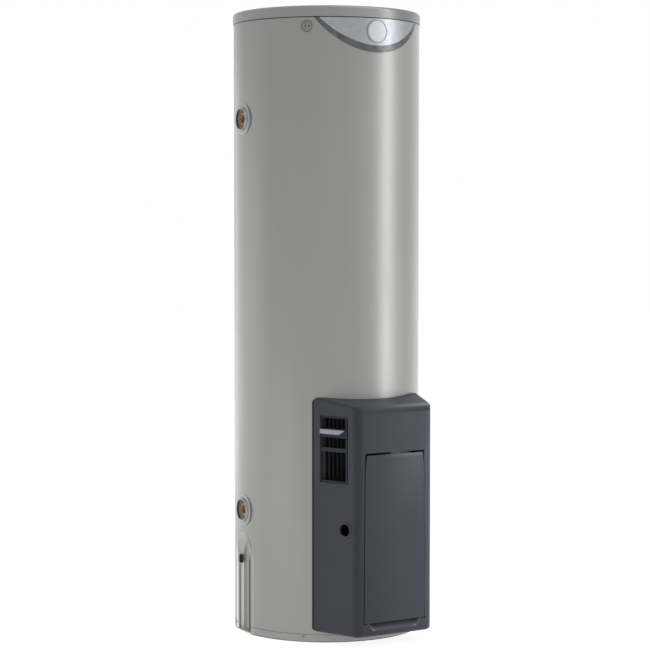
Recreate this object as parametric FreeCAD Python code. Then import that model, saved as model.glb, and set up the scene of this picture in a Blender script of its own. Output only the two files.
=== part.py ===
import FreeCAD, Part
import math
import os

# Gas storage water heater, in millimetres. The origin is the centre of the foot on the floor,
# on the jacket's axis. +Z is up and the front, with its cover, faces -Y.
# Angles round the jacket are in degrees from the front, positive towards +X.

os.makedirs("parts", exist_ok=True)
V = FreeCAD.Vector
UP = V(0, 0, 1)

# General clearances, how far cutting shapes run past a wall, and how deep fused pieces root
seat_gap = 0.2
running_gap = 0.05
weld_gap = 0.0
cut_past = 5.0
wall_cut = 20.0
root_depth = 0.5

# Jacket, lid and foot
overall_height = 1655.0
jacket_radius = 250.0
jacket_wall = 1.0
jacket_below_lid_top = 9.0
jacket_seam_width = 14.0
jacket_seam_proud = 1.2
jacket_seam_top_gap = 1.0
lid_height = 28.5
lid_overhang = 2.0
lid_wall = 1.5
lid_edge_radius = 8.0
lid_shelf_width = 8.0
lid_foam_gap = 1.0
band_height = 20.0
band_seam_gap = 1.2
pan_floor = 3.0
pan_rim_height = 45.0
pan_rim_wall = 1.5
screw_count = 6
screw_beside_channel = 18.0
screw_spread = 315.0
screw_height = 14.0
screw_head_radius = 3.5
screw_head_height = 1.6
screw_shank_radius = 1.8
screw_length = 6.0
screw_head_round = 1.0
screw_slot_half = 2.4
screw_slot_width = 0.9
screw_slot_depth = 0.7

# Recessed channel up the left side
channel_angle = -95.0
channel_half_width = 42.0
channel_draft = 8.0
channel_depth = 18.0
channel_arch_centre = 228.0
channel_floor_drop = 24.0
channel_wall = 1.2
channel_past = 2.0
channel_hole_radius = 6.0
channel_hole_half_straight = 6.5
channel_hole_inward = 12.0
channel_hole_height = 192.0
channel_hole_pocket = 12.0

# Water connections
port_angle = -94.4
hot_port_below_top = 285.0
cold_port_above_channel = 60.0
socket_radius = 18.0
socket_proud = 0.0
socket_into_tank = 9.0
socket_thread_radius = 12.06
socket_thread_length = 16.0
socket_bore_radius = 10.0
trim_radius = 43.0
trim_hole_radius = 27.5
trim_lip = 3.5
trim_proud = 7.0
trim_flange_proud = 1.6
trim_sleeve_wall = 2.0
trim_sleeve_depth = 18.0
trim_saddle_depth = 7.0
trim_edge = 0.5
trim_edge_round = 9.0
trim_lip_bevel = 1.0
socket_bevel = 1.0

# Decoration under the lid and the foam plug
crescent_half_angle = 39.55
crescent_depth = 90.2
crescent_band_height = 18.4
crescent_band_tip_angle = 2.8
crescent_wall = 1.0
badge_radius = 30.5
badge_below_lid = 35.5
badge_wall = 1.5
badge_rim_width = 3.0
badge_rim_proud = 0.8
foam_plug_angle = -43.4
foam_plug_below_lid = 24.7
foam_plug_radius = 16.0
foam_plug_proud = 2.5
foam_plug_stem_radius = 10.0
foam_plug_stem_length = 9.0
foam_plug_dimple_radius = 2.2
foam_plug_dimple_offset = 4.5
foam_plug_dimple_depth = 2.5
foam_plug_edge = 0.8
foam_plug_bevel = 1.5
foam_plug_rim = 3.5
foam_plug_dish_slope = 1.0
foam_plug_dish = 1.7

# Tank, flueway and insulation
foam_thickness = 45.0
tank_wall = 3.0
tank_bottom = 243.0
tank_top_room = 155.0
tank_dome = 60.0
tank_bottom_dome = 45.0
skirt_wall = 2.0
flue_radius = 42.0
flue_wall = 1.5
flue_below_head = 12.0
flue_top_below_shoulder = 45.0
flue_leg_spacing = 110.0
flue_outlet_below_cover_top = 66.0
flue_elbow_radius = 60.0
flue_into_box = 2.5
baffle_width = 50.0
baffle_fold_height = 85.0
baffle_thickness = 2.0
baffle_above_flue_end = 24.0
baffle_top_room = 134.0
foam_top_gap = 0.3
flue_jacket_gap = 1.0
probe_jacket_gap = 1.5

# Fittings in the tank
anode_offset = 120.0
anode_radius = 10.5
anode_above_head = 132.0
anode_plug_radius = 18.0
anode_plug_height = 12.0
anode_thread_radius = 13.0
spud_wall = 7.0
spud_above_shoulder = 32.0
spud_length = 20.0
anode_pocket_radius = 24.0
pickup_radius = 12.0
pickup_wall = 2.0
pickup_from_wall = 55.0
pickup_above_shoulder = 10.0
pickup_bend = 30.0
diffuser_radius = 12.0
diffuser_wall = 2.5
diffuser_length = 46.0
diffuser_slots = 3
diffuser_slot_width = 5.0
diffuser_first_slot = 8.0

# Combustion chamber
pad_thickness = 12.0
pad_gap = 3.0
skirt_opening_half = 72.0
skirt_opening_low = 44.0
skirt_opening_below_tank = 27.0
chamber_door_margin = 12.0
chamber_door_wall = 1.5
chamber_screw_inset = 6.0
chamber_space_margin = 20.0
jacket_opening_half = 88.0
jacket_opening_low = 48.0
jacket_opening_below_tank = 15.0
sight_x = 45.0
sight_below_opening = 51.0
sight_radius = 18.0
sight_thickness = 4.0
sight_lip = 3.0
sight_frame_wall = 2.0
sight_frame_proud = 8.0
sight_frame_inside = 12.0
lead_slot_margin = 6.0
burner_axis_height = 86.0
burner_above_axis = 20.0
burner_height = 22.0
burner_radius = 85.0
burner_wall = 1.5
burner_ports = 36
burner_port_radius = 2.5
burner_base_in = 12.0
burner_base_rise = 8.0
burner_top_in = 10.0
burner_top_drop = 5.0
venturi_radius = 14.0
venturi_wall = 1.4
venturi_mouth_from_skirt = 29.0
venturi_bend = 17.0
orifice_radius = 8.0
orifice_length = 12.0
orifice_jet_radius = 1.2
manifold_radius = 6.35
manifold_wall = 1.2
manifold_bend = 28.0
manifold_end_from_skirt = 21.0
support_width = 60.0
support_flange = 18.0
support_wall = 1.5
support_offset = 40.0
pilot_x = -24.0
thermocouple_x = -34.0
electrode_x = -46.0
pilot_group_out = 100.0
pilot_base = 80.0
pilot_top = 118.0
pilot_radius = 5.0
pilot_bore = 3.5
pilot_hood_wall = 2.0
pilot_port_half = 2.0
pilot_port_low = 110.0
pilot_port_high = 115.0
pilot_tube_step = 4.0
pilot_tube_radius = 3.0
pilot_run_height = 62.0
pilot_bend = 15.0
lead_run_height = 72.0
lead_bend = 10.0
lead_radius = 2.0
lead_jacket_gap = 8.0
tip_base = 84.0
tip_top = 122.0
thermocouple_lead_radius = 1.6
thermocouple_tip_radius = 3.0
ceramic_radius = 3.5
ceramic_top = 108.0
electrode_radius = 1.0
electrode_reach = 8.0
electrode_bend = 4.0
edge_search = 1.0
pilot_plate_height = 92.0
pilot_plate_thickness = 1.5
pilot_plate_half_depth = 9.0
pilot_plate_margin = 8.0
pilot_plate_lap = 3.0

# Front cover
cover_depth = 86.4
cover_front_half = 115.8
cover_back_half = 162.5
cover_wall = 3.0
cover_corner_radius = 26.0
cover_bottom = 29.5
cover_front_top = 624.0
cover_top_slope = 0.14
cover_top_edge = 9.0
cover_bottom_edge = 8.0
cover_back_corner_top = 18.0
cover_back_corner_bottom = 11.0
cover_jacket_gap = 0.3

# Door in the cover
door_above_slope = 3.0
door_top = 499.5
door_half_bottom = 93.7
door_half_shoulder = 91.0
door_half_top = 86.0
door_shoulder_drop = 45.0
shoulder_curve_in = 0.3
shoulder_curve_up = 0.55
door_side_gap = 1.7
door_top_corner_gap = 4.0
door_top_gap = 5.0
door_bottom_gap = 1.5
door_corner_radius = 3.0
door_edge_round = 1.0
opening_bevel = 1.0
door_rib_height = 4.0
door_rib_width = 2.5
door_rib_offset = 55.0
hinge_inset = 12.0
hinge_below_door_top = 10.5
hinge_pin_radius = 2.5
hinge_eye_radius = 5.5
hinge_eye_width = 9.0
hinge_eye_inset = 3.0
hinge_web_step = 1.0
hinge_arm_width = 7.0
hinge_arm_inset = 2.0
hinge_arm_above = 22.0
hinge_arm_below = 7.0
stop_lug_low_x = -10.0
stop_lug_high_x = 20.0
stop_lug_thickness = 3.0
stop_lug_above_door = 7.0
stop_lug_below_top = 12.0
stop_lug_step = 1.0
ledge_width = 4.0
ledge_thickness = 2.5
ledge_above_scoop = 2.0
ledge_below_door_top = 31.5
scoop_above_cover_end = 14.5
scoop_half_bottom = 64.0
scoop_half_top = 81.0
scoop_depth = 17.0
scoop_slope_height = 18.0
scoop_behind_door = 17.0
scoop_lip = 4.0
door_rib_above_scoop = 9.0
rim_groove_below_top = 15.5
rim_groove_height = 4.5
rim_groove_depth = 1.2

# Side vents, measured along the cover's side from where it meets the jacket
recess_start = 28.0
recess_end = 122.0
recess_past_vents = 6.0
grille_flange = 4.0
grille_wall = 2.5
vent_start = 31.0
vent_end = 112.0
air_vent_below_flue = 53.0
air_vent_height = 75.0
lower_vent_below_flue = 16.0
lower_vent_height = 26.5
upper_vent_above_flue = 7.0
upper_vent_height = 27.0
shadow_slot_start = 116.8
shadow_slot_end = 120.6
fin_pitch = 13.5
fin_thickness = 1.4
fin_depth = 9.0
fin_below_face = 0.3
fin_root = 1.0
deflector_start = 28.6
deflector_top_end = 111.0
deflector_bottom_end = 92.0
deflector_below_flue = 7.5
deflector_height = 12.0
deflector_out = 2.0
deflector_wall = 1.0
box_below_flue = 50.0
box_above_flue = 48.0
box_wall = 1.0
box_depth_from_side = 12.5
box_start = 30.0
box_end = 116.0
box_jacket_gap = 2.2
box_back_half = 60.0
box_behind_cover = 24.4
box_front_half = 100.0
box_mouth_margin = 1.0

# Gas control
valve_behind_cover = 21.0
valve_depth = 52.0
valve_half_width = 45.0
valve_below_axis = 55.9
valve_height = 112.0
valve_edge = 5.0
gas_axis_behind_face = 18.2
gas_axis_above_tank_bottom = 62.9
inlet_radius = 13.5
inlet_hex_radius = 16.0
inlet_hex_length = 11.0
inlet_mouth = 108.0
inlet_thread_radius = 9.32
inlet_thread_length = 16.0
inlet_bore_radius = 7.0
manifold_behind_face = 26.4
grommet_bore_radius = 16.0
grommet_flange_radius = 22.0
grommet_hole_radius = 19.0
grommet_flange = 2.0
grommet_round = 1.4
grommet_inner_step = 1.5
probe_shank_radius = 12.0
probe_radius = 6.0
probe_reach = 115.0
probe_spud_radius = 19.0
probe_spud_length = 18.0
knob_below_valve_top = 25.0
knob_x = -10.0
knob_radius = 17.0
dial_above_valve_end = 31.0
dial_radius = 25.0
knob_depth = 13.0
knob_stand_off = 0.4
knob_grip_width = 7.0
knob_base_depth = 6.0
knob_edge_round = 1.5
knob_grip_inset = 2.0
dial_grip_inset = 4.0
knob_hub_share = 0.55
knob_hub_below_grip = 3.0
spindle_radius = 4.0
spindle_length = 9.0
spindle_hole_depth = 10.0
pilot_button_x = 30.0
pilot_button_radius = 6.0
pilot_button_proud = 8.0
button_inside = 12.0
button_travel = 5.0
button_spare = 1.0
button_round = 1.2
button_gap = 0.08
igniter_x = 70.0
igniter_above_valve_end = 40.0
igniter_radius = 10.0
igniter_behind_face = 12.4
igniter_length = 31.0
igniter_collar_radius = 13.0
igniter_collar_length = 3.0
igniter_button_radius = 6.5
igniter_plate = 1.5
igniter_plate_half = 14.0
igniter_foot_length = 18.0
bracket_angle = 24.0
bracket_width = 14.0
bracket_leg = 24.0
bracket_reach = 20.0
bracket_wall = 1.5
bracket_screw_radius = 2.0
bracket_screw_head = 4.0
bracket_screw_head_height = 2.5
bracket_screw_length = 10.0
bracket_seat = 0.05

# Derived places: jacket, ports and decoration
jacket_inner = jacket_radius - jacket_wall
jacket_top = overall_height - jacket_below_lid_top
lid_seam = overall_height - lid_height
lid_radius = jacket_radius + lid_overhang
pan_radius = jacket_inner - seat_gap / 2
foam_radius = jacket_inner - seat_gap
hot_port_height = overall_height - hot_port_below_top
cold_port_height = channel_arch_centre + channel_half_width + cold_port_above_channel
badge_height = lid_seam - badge_below_lid
foam_plug_height = lid_seam - foam_plug_below_lid
first_screw_offset = channel_half_width + screw_beside_channel
screw_first_angle = channel_angle - math.degrees(math.asin(first_screw_offset / jacket_radius))

# Derived places: tank, flueway and chamber
tank_radius = jacket_radius - foam_thickness
tank_shoulder = overall_height - tank_top_room
head_top = tank_bottom + tank_bottom_dome
socket_inner_end = tank_radius - socket_into_tank
spud_bottom = tank_shoulder + spud_above_shoulder
spud_top = spud_bottom + spud_length
anode_bottom = head_top + anode_above_head
pickup_reach = tank_radius - pickup_from_wall
pickup_top = tank_shoulder + pickup_above_shoulder
flue_bottom = head_top - flue_below_head
flue_top_axis = tank_shoulder - flue_top_below_shoulder
baffle_bottom = flue_bottom + baffle_above_flue_end
pad_top = pan_floor + pad_thickness
pad_radius = tank_radius - skirt_wall - pad_gap
skirt_opening_high = tank_bottom - skirt_opening_below_tank
jacket_opening_high = tank_bottom - jacket_opening_below_tank
sight_z = skirt_opening_high - sight_below_opening
burner_bottom = burner_axis_height + burner_above_axis
venturi_mouth = tank_radius - venturi_mouth_from_skirt
manifold_end = tank_radius - manifold_end_from_skirt

# Derived places: cover, door and vents
cover_front = jacket_radius + cover_depth
cover_inner = cover_front - cover_wall
cover_back_out = math.sqrt(jacket_radius ** 2 - cover_back_half ** 2)
scoop_bottom = cover_bottom + scoop_above_cover_end
scoop_slope_top = scoop_bottom + scoop_slope_height
door_bottom = scoop_slope_top + door_above_slope
scoop_top = door_bottom + scoop_behind_door
ledge_bottom = scoop_top + ledge_above_scoop
ledge_top = door_top - ledge_below_door_top
door_rib_start = scoop_top + door_rib_above_scoop
hinge_out = cover_front - hinge_inset
hinge_height = door_top - hinge_below_door_top
flue_outlet_height = cover_front_top - flue_outlet_below_cover_top
upper_vent_low = flue_outlet_height + upper_vent_above_flue
upper_vent_high = upper_vent_low + upper_vent_height
lower_vent_high = flue_outlet_height - lower_vent_below_flue
lower_vent_low = lower_vent_high - lower_vent_height
air_vent_high = flue_outlet_height - air_vent_below_flue
air_vent_low = air_vent_high - air_vent_height
recess_low = air_vent_low - recess_past_vents
recess_high = upper_vent_high + recess_past_vents
deflector_low = flue_outlet_height - deflector_below_flue
deflector_high = deflector_low + deflector_height
box_low = flue_outlet_height - box_below_flue
box_high = flue_outlet_height + box_above_flue
box_back = jacket_radius + box_jacket_gap
box_front = cover_front - box_behind_cover

# Derived places: gas control and igniter
valve_face = cover_front - valve_behind_cover
valve_back = valve_face - valve_depth
gas_axis_out = valve_face - gas_axis_behind_face
gas_axis_height = tank_bottom + gas_axis_above_tank_bottom
valve_low = gas_axis_height - valve_below_axis
valve_high = valve_low + valve_height
manifold_out = valve_face - manifold_behind_face
probe_end = tank_radius - probe_reach
knob_height = valve_high - knob_below_valve_top
dial_height = valve_low + dial_above_valve_end
igniter_height = valve_low + igniter_above_valve_end
igniter_face = valve_face - igniter_behind_face
igniter_back = igniter_face - igniter_length
lead_drop_out = jacket_radius + lead_jacket_gap


def radial(angle):
    a = math.radians(angle)
    return V(math.sin(a), -math.cos(a), 0)


def tangent(angle):
    a = math.radians(angle)
    return V(math.cos(a), math.sin(a), 0)


def upright(radius, low, high, x=0.0, y=0.0):
    return Part.makeCylinder(radius, high - low, V(x, y, low), UP)


def ring(outer, inner, low, high):
    return upright(outer, low, high).cut(upright(inner, low - cut_past, high + cut_past))


def box(x0, x1, y0, y1, z0, z1):
    return Part.makeBox(x1 - x0, y1 - y0, z1 - z0, V(x0, y0, z0))


def spoke(angle, height, radius, start, end):
    """A cylinder that points out from the axis, from one distance to another."""
    out = radial(angle)
    return Part.makeCylinder(radius, end - start, out * start + UP * height, out)


def forward(x, height, radius, start, end):
    """A cylinder towards the front, between two distances in front of the axis."""
    return Part.makeCylinder(radius, end - start, V(x, -start, height), V(0, -1, 0))


def face_of(points):
    return Part.Face(Part.makePolygon(points + points[:1]))


def prism(points, low, high):
    return face_of([V(x, y, low) for x, y in points]).extrude(UP * (high - low))


def lathe(points, origin, direction):
    """A turned solid from (radius, distance along the direction) points."""
    solid = face_of([V(r, 0, t) for r, t in points]).revolve(V(0, 0, 0), UP, 360)
    solid.Placement = FreeCAD.Placement(origin, FreeCAD.Rotation(UP, direction))
    return solid


def hexagon(radius, length, origin, direction):
    corners = [V(radius * math.cos(math.radians(60 * i)), radius * math.sin(math.radians(60 * i)), 0)
               for i in range(6)]
    solid = face_of(corners).extrude(UP * length)
    solid.Placement = FreeCAD.Placement(origin, FreeCAD.Rotation(UP, direction))
    return solid


def route(points, bends):
    """Straight runs joined by tangent arcs, with one radius for each inner point."""
    edges = []
    last = points[0]
    for before, corner, after, bend in zip(points, points[1:], points[2:], bends):
        u = (before - corner).normalize()
        v = (after - corner).normalize()
        half = u.getAngle(v) / 2
        start = corner + u * (bend / math.tan(half))
        end = corner + v * (bend / math.tan(half))
        middle = (u + v).normalize()
        top = corner + middle * (bend / math.sin(half) - bend)
        if (start - last).Length > 0.01:
            edges.append(Part.LineSegment(last, start).toShape())
        edges.append(Part.Arc(start, top, end).toShape())
        last = end
    if (points[-1] - last).Length > 0.01:
        edges.append(Part.LineSegment(last, points[-1]).toShape())
    return Part.Wire(edges)


def rod(points, bends, radius):
    path = route(points, bends)
    circle = Part.Wire(Part.makeCircle(radius, points[0], points[1] - points[0]))
    return Part.Solid(path.makePipeShell([circle], True, False))


def pipe(points, bends, radius, wall):
    return rod(points, bends, radius).cut(rod(points, bends, radius - wall))


def mirrored(shape):
    return shape.mirror(V(0, 0, 0), V(1, 0, 0))


def fuse(shapes):
    return shapes[0].fuse(list(shapes[1:])).removeSplitter()


def edges_where(shape, test):
    return [edge for edge in shape.Edges if test(edge)]


def round_edges_at(shape, centre):
    """The closed edges whose centre is at this point."""
    return edges_where(shape, lambda e: e.Closed and (e.CenterOfMass - centre).Length < 0.01)


def save(name, shape):
    shape.exportStep("parts/%s.step" % name)
    print("%-24s solids %2d  volume %12.1f  valid %s"
          % (name, len(shape.Solids), shape.Volume, shape.isValid()))


# Recessed side channel: an arch-topped trough that narrows towards its floor
def arch(distance, half, centre, low):
    out = radial(channel_angle) * distance
    side = tangent(channel_angle)
    a, b = out - side * half + UP * low, out - side * half + UP * centre
    c, d = out + side * half + UP * centre, out + side * half + UP * low
    top = out + UP * (centre + half)
    return Part.Wire([Part.LineSegment(a, b).toShape(), Part.Arc(b, top, c).toShape(),
                      Part.LineSegment(c, d).toShape(), Part.LineSegment(d, a).toShape()])


def channel_form(grow):
    floor_out = jacket_radius - channel_depth - grow
    mouth_out = jacket_radius + channel_past
    mouth_grow = channel_draft * channel_past / channel_depth + grow
    floor_centre = channel_arch_centre - channel_floor_drop
    low = -cut_past
    return Part.makeLoft([
        arch(floor_out, channel_half_width - channel_draft + grow, floor_centre, low),
        arch(mouth_out, channel_half_width + mouth_grow, channel_arch_centre, low)], True, True)


def channel_hole(depth):
    """The upright oval through the channel's left wall, cut this far past its face."""
    out, side = radial(channel_angle), tangent(channel_angle)
    half = channel_half_width - channel_draft * channel_hole_inward / channel_depth
    centre = out * (jacket_radius - channel_hole_inward) - side * half + UP * channel_hole_height
    inward = (side * channel_depth + out * channel_draft).normalize()
    along = (side * channel_draft - out * channel_depth).normalize()
    r, straight = channel_hole_radius, channel_hole_half_straight
    start = centre - inward * depth
    ends = [Part.makeCylinder(r, depth + cut_past, start + UP * z, inward) for z in (-straight, straight)]
    corners = [start + along * a + UP * z
               for a, z in ((-r, -straight), (r, -straight), (r, straight), (-r, straight))]
    middle = face_of(corners).extrude(inward * (depth + cut_past))
    return fuse(ends + [middle])


def side_channel():
    trough = channel_form(channel_wall).cut([channel_form(0), channel_hole(2 * channel_wall)])
    return trough.common(upright(jacket_radius, pan_floor, overall_height))


channel_space = channel_form(channel_wall)


# Jacket, lid, band, pan and their screws
def jacket_shell():
    low = band_height + band_seam_gap
    shell = ring(jacket_radius, jacket_inner, low, jacket_top)
    seam_top = lid_seam - jacket_seam_top_gap
    seam = box(-jacket_seam_width / 2, jacket_seam_width / 2, jacket_radius - wall_cut,
               jacket_radius + cut_past, low, seam_top)
    seam = seam.common(ring(jacket_radius + jacket_seam_proud, jacket_inner, low, seam_top))
    shell = shell.fuse(seam)
    near, far = jacket_radius - wall_cut, jacket_radius + wall_cut
    holes = [channel_space,
             box(-jacket_opening_half, jacket_opening_half, -far, -tank_radius, jacket_opening_low,
                 jacket_opening_high),
             forward(0, flue_outlet_height, flue_radius + flue_jacket_gap, near, far),
             forward(0, gas_axis_height, probe_shank_radius + probe_jacket_gap, near, far),
             spoke(foam_plug_angle, foam_plug_height, foam_plug_stem_radius + seat_gap, near, far)]
    for height in (hot_port_height, cold_port_height):
        holes.append(spoke(port_angle, height, trim_hole_radius + trim_sleeve_wall + seat_gap, near, far))
    return shell.cut(holes)


def top_lid():
    outer = upright(lid_radius, lid_seam, overall_height)
    outer = outer.makeFillet(lid_edge_radius, round_edges_at(outer, UP * overall_height))
    skirt_space = upright(jacket_radius + seat_gap, lid_seam - cut_past, jacket_top)
    top_space = upright(jacket_radius - lid_shelf_width, jacket_top - cut_past, overall_height - lid_wall)
    return outer.cut([skirt_space, top_space])


def base_band():
    return ring(jacket_radius, jacket_inner, 0, band_height).cut([channel_space] + screw_holes())


def screw_angles():
    step = screw_spread / (screw_count - 1)
    return [screw_first_angle + i * step for i in range(screw_count)]


def screw_holes():
    return [spoke(a, screw_height, screw_shank_radius + seat_gap / 2, jacket_radius - wall_cut,
                  jacket_radius + wall_cut) for a in screw_angles()]


def screw(at, direction, head_radius, head_height, shank_radius, length):
    """A screw with a cross recess. Its head stands on the point and its shank runs the other way."""
    head = Part.makeCylinder(head_radius, head_height, at, direction)
    head = head.makeFillet(screw_head_round, round_edges_at(head, at + direction * head_height))
    shank = Part.makeCylinder(shank_radius, length + root_depth, at - direction * length, direction)
    slot = Part.makeBox(2 * screw_slot_half, screw_slot_width, cut_past,
                        V(-screw_slot_half, -screw_slot_width / 2, 0))
    cross = slot.fuse(slot.copy().rotate(V(0, 0, 0), UP, 90))
    cross.Placement = FreeCAD.Placement(at + direction * (head_height - screw_slot_depth),
                                        FreeCAD.Rotation(UP, direction))
    return head.fuse(shank).cut(cross)


def base_pan():
    """The tray, whose floor runs on under the channel as the foot's edge."""
    pan = upright(pan_radius, 0, pan_rim_height)
    pan = pan.cut(upright(pan_radius - pan_rim_wall, pan_floor, pan_rim_height + cut_past))
    above_floor = channel_space.common(upright(jacket_radius + cut_past, pan_floor, overall_height))
    return pan.cut([above_floor] + screw_holes())


def base_screws():
    return Part.makeCompound([
        screw(radial(a) * jacket_radius + UP * screw_height, radial(a), screw_head_radius,
              screw_head_height, screw_shank_radius, screw_length) for a in screw_angles()])


# Water connections
def port_trim(height):
    """A thin flange saddled to the jacket, with a raised rim and a sleeve through the jacket's hole."""
    out, centre = radial(port_angle), UP * height
    mouth = jacket_radius + trim_proud
    inner, edge = trim_hole_radius, jacket_radius + trim_edge
    saddle, flat = jacket_radius - trim_saddle_depth, jacket_radius + trim_flange_proud
    rim = inner + trim_lip
    flange = lathe([(inner, saddle), (trim_radius, saddle), (trim_radius, edge),
                    (trim_radius - trim_edge_round, flat), (rim + trim_lip_bevel, flat),
                    (rim, mouth - trim_lip_bevel), (rim - trim_lip_bevel, mouth),
                    (inner + trim_lip_bevel, mouth), (inner, mouth - trim_lip_bevel)], centre, out)
    flange = flange.cut(upright(jacket_radius + seat_gap / 2, height - 2 * trim_radius,
                                height + 2 * trim_radius))
    sleeve_end, sleeve_out = jacket_radius - trim_sleeve_depth, inner + trim_sleeve_wall
    sleeve = lathe([(inner, sleeve_end), (sleeve_out, sleeve_end), (sleeve_out, edge + root_depth),
                    (inner, edge + root_depth)], centre, out)
    return fuse([flange, sleeve])


def socket(height):
    face = jacket_radius + socket_proud
    shoulder = face - socket_thread_length
    return lathe([(socket_bore_radius, socket_inner_end), (socket_radius, socket_inner_end),
                  (socket_radius, face - socket_bevel), (socket_radius - socket_bevel, face),
                  (socket_thread_radius, face), (socket_thread_radius, shoulder),
                  (socket_bore_radius, shoulder)], UP * height, radial(port_angle))


# Crescent under the lid, its dark band, the bare badge and the foam plug
def sheet_on_jacket(inner, outer):
    return ring(outer, inner, lid_seam - crescent_depth - cut_past, lid_seam - seat_gap)


def crescent_disc(depth, tip_angle):
    """A drum along Y whose outline passes through both tips and the lowest point."""
    half = jacket_radius * math.sin(math.radians(tip_angle))
    radius = (half ** 2 + depth ** 2) / (2 * depth)
    centre = lid_seam - depth + radius
    return Part.makeCylinder(radius, jacket_radius + wall_cut, V(0, 0, centre), V(0, -1, 0))


def plate_disc():
    return crescent_disc(crescent_depth - crescent_band_height,
                         crescent_half_angle - crescent_band_tip_angle)


def crescent_plate():
    skin = sheet_on_jacket(jacket_radius, jacket_radius + crescent_wall)
    return skin.common(plate_disc())


def crescent_band():
    skin = sheet_on_jacket(jacket_radius, jacket_radius + crescent_wall)
    return skin.common(crescent_disc(crescent_depth, crescent_half_angle)).cut(plate_disc())


def badge_blank():
    face = jacket_radius + crescent_wall
    near, far = jacket_radius - wall_cut, jacket_radius + wall_cut
    low, high = badge_height - 2 * badge_radius, badge_height + 2 * badge_radius
    disc = forward(0, badge_height, badge_radius, near, far)
    core = forward(0, badge_height, badge_radius - badge_rim_width, near, far)
    base = disc.common(ring(face + badge_wall, face, low, high))
    rim = disc.cut(core).common(ring(face + badge_wall + badge_rim_proud, face, low, high))
    return fuse([base, rim])


def foam_fill_plug():
    out, centre = radial(foam_plug_angle), UP * foam_plug_height
    side = tangent(foam_plug_angle)
    r, face = foam_plug_radius, jacket_radius + foam_plug_proud
    dish = r - foam_plug_bevel - foam_plug_rim
    low = jacket_radius - root_depth
    cap = lathe([(0, low), (r, low), (r, jacket_radius + foam_plug_edge), (r - foam_plug_bevel, face),
                 (dish, face), (dish - foam_plug_dish_slope, face - foam_plug_dish),
                 (0, face - foam_plug_dish)], centre, out)
    cap = cap.cut(upright(jacket_radius, foam_plug_height - 2 * r, foam_plug_height + 2 * r))
    stem = spoke(foam_plug_angle, foam_plug_height, foam_plug_stem_radius,
                 jacket_radius - foam_plug_stem_length, jacket_radius + root_depth)
    dimple_floor = out * (face - foam_plug_dish - foam_plug_dimple_depth) + centre
    dimples = [Part.makeCylinder(foam_plug_dimple_radius, cut_past, dimple_floor + side * x, out)
               for x in (-foam_plug_dimple_offset, foam_plug_dimple_offset)]
    return cap.fuse(stem).cut(dimples)


# Tank with domed ends
def arc_edge(a, b, c):
    return Part.Arc(a, b, c).toShape()


def cap_height(sphere_rise, base, r):
    """Height above the base of a spherical cap with this rise, at radius r."""
    radius = (base ** 2 + sphere_rise ** 2) / (2 * sphere_rise)
    return math.sqrt(radius ** 2 - r ** 2) - (radius - sphere_rise)


def tank_envelope(grow):
    """The tank's outer form without its hollow, made larger all round by grow."""
    r, top = tank_radius + grow, tank_shoulder + grow
    low = tank_bottom - cut_past
    edges = [Part.LineSegment(V(0, 0, low), V(r, 0, low)).toShape(),
             Part.LineSegment(V(r, 0, low), V(r, 0, top)).toShape(),
             arc_edge(V(r, 0, top), V(r / 2, 0, top + cap_height(tank_dome, r, r / 2)),
                      V(0, 0, top + tank_dome)),
             Part.LineSegment(V(0, 0, top + tank_dome), V(0, 0, low)).toShape()]
    return Part.Face(Part.Wire(edges)).revolve(V(0, 0, 0), UP, 360)


def storage_tank():
    r, w = tank_radius, tank_wall
    ri = r - w
    top = tank_shoulder
    head = tank_bottom + w
    rise = tank_bottom_dome

    def under(x, extra):
        return V(x, 0, tank_bottom + extra + cap_height(rise, ri, x))

    inner_base = V(ri, 0, tank_bottom + w)
    edges = [Part.LineSegment(V(r, 0, tank_bottom), V(r, 0, top)).toShape(),
             arc_edge(V(r, 0, top), V(r / 2, 0, top + cap_height(tank_dome, r, r / 2)),
                      V(0, 0, top + tank_dome)),
             Part.LineSegment(V(0, 0, top + tank_dome), V(0, 0, top + tank_dome - w)).toShape(),
             arc_edge(V(0, 0, top + tank_dome - w),
                      V(ri / 2, 0, top + cap_height(tank_dome - w, ri, ri / 2)), V(ri, 0, top)),
             Part.LineSegment(V(ri, 0, top), inner_base).toShape(),
             arc_edge(inner_base, V(ri / 2, 0, head + cap_height(rise, ri, ri / 2)),
                      V(0, 0, head + rise)),
             Part.LineSegment(V(0, 0, head + rise), under(0, 0)).toShape(),
             arc_edge(under(0, 0), under(ri / 2, 0), V(ri, 0, tank_bottom)),
             Part.LineSegment(V(ri, 0, tank_bottom), V(r, 0, tank_bottom)).toShape()]
    shell = Part.Face(Part.Wire(edges)).revolve(V(0, 0, 0), UP, 360)
    anode_spud = upright(anode_thread_radius + spud_wall, spud_bottom, spud_top, anode_offset)
    probe_spud = forward(0, gas_axis_height, probe_spud_radius, ri, r + probe_spud_length)
    shell = shell.fuse([anode_spud, probe_spud])
    near, far = r - wall_cut, r + wall_cut
    holes = [upright(flue_radius + weld_gap, tank_bottom, tank_bottom + 2 * rise),
             forward(0, flue_outlet_height, flue_radius + weld_gap, near, far),
             upright(anode_thread_radius + running_gap, spud_bottom - cut_past, spud_top + cut_past,
                     anode_offset),
             forward(0, gas_axis_height, probe_shank_radius + running_gap, near, far)]
    for height in (hot_port_height, cold_port_height):
        holes.append(spoke(port_angle, height, socket_radius + weld_gap, near, far))
    return shell.cut(holes)


def tank_skirt():
    skirt = ring(tank_radius, tank_radius - skirt_wall, pan_floor, tank_bottom)
    opening = box(-skirt_opening_half, skirt_opening_half, -jacket_radius, -tank_radius / 2,
                  skirt_opening_low, skirt_opening_high)
    return skirt.cut([opening] + chamber_screw_holes())


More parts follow.
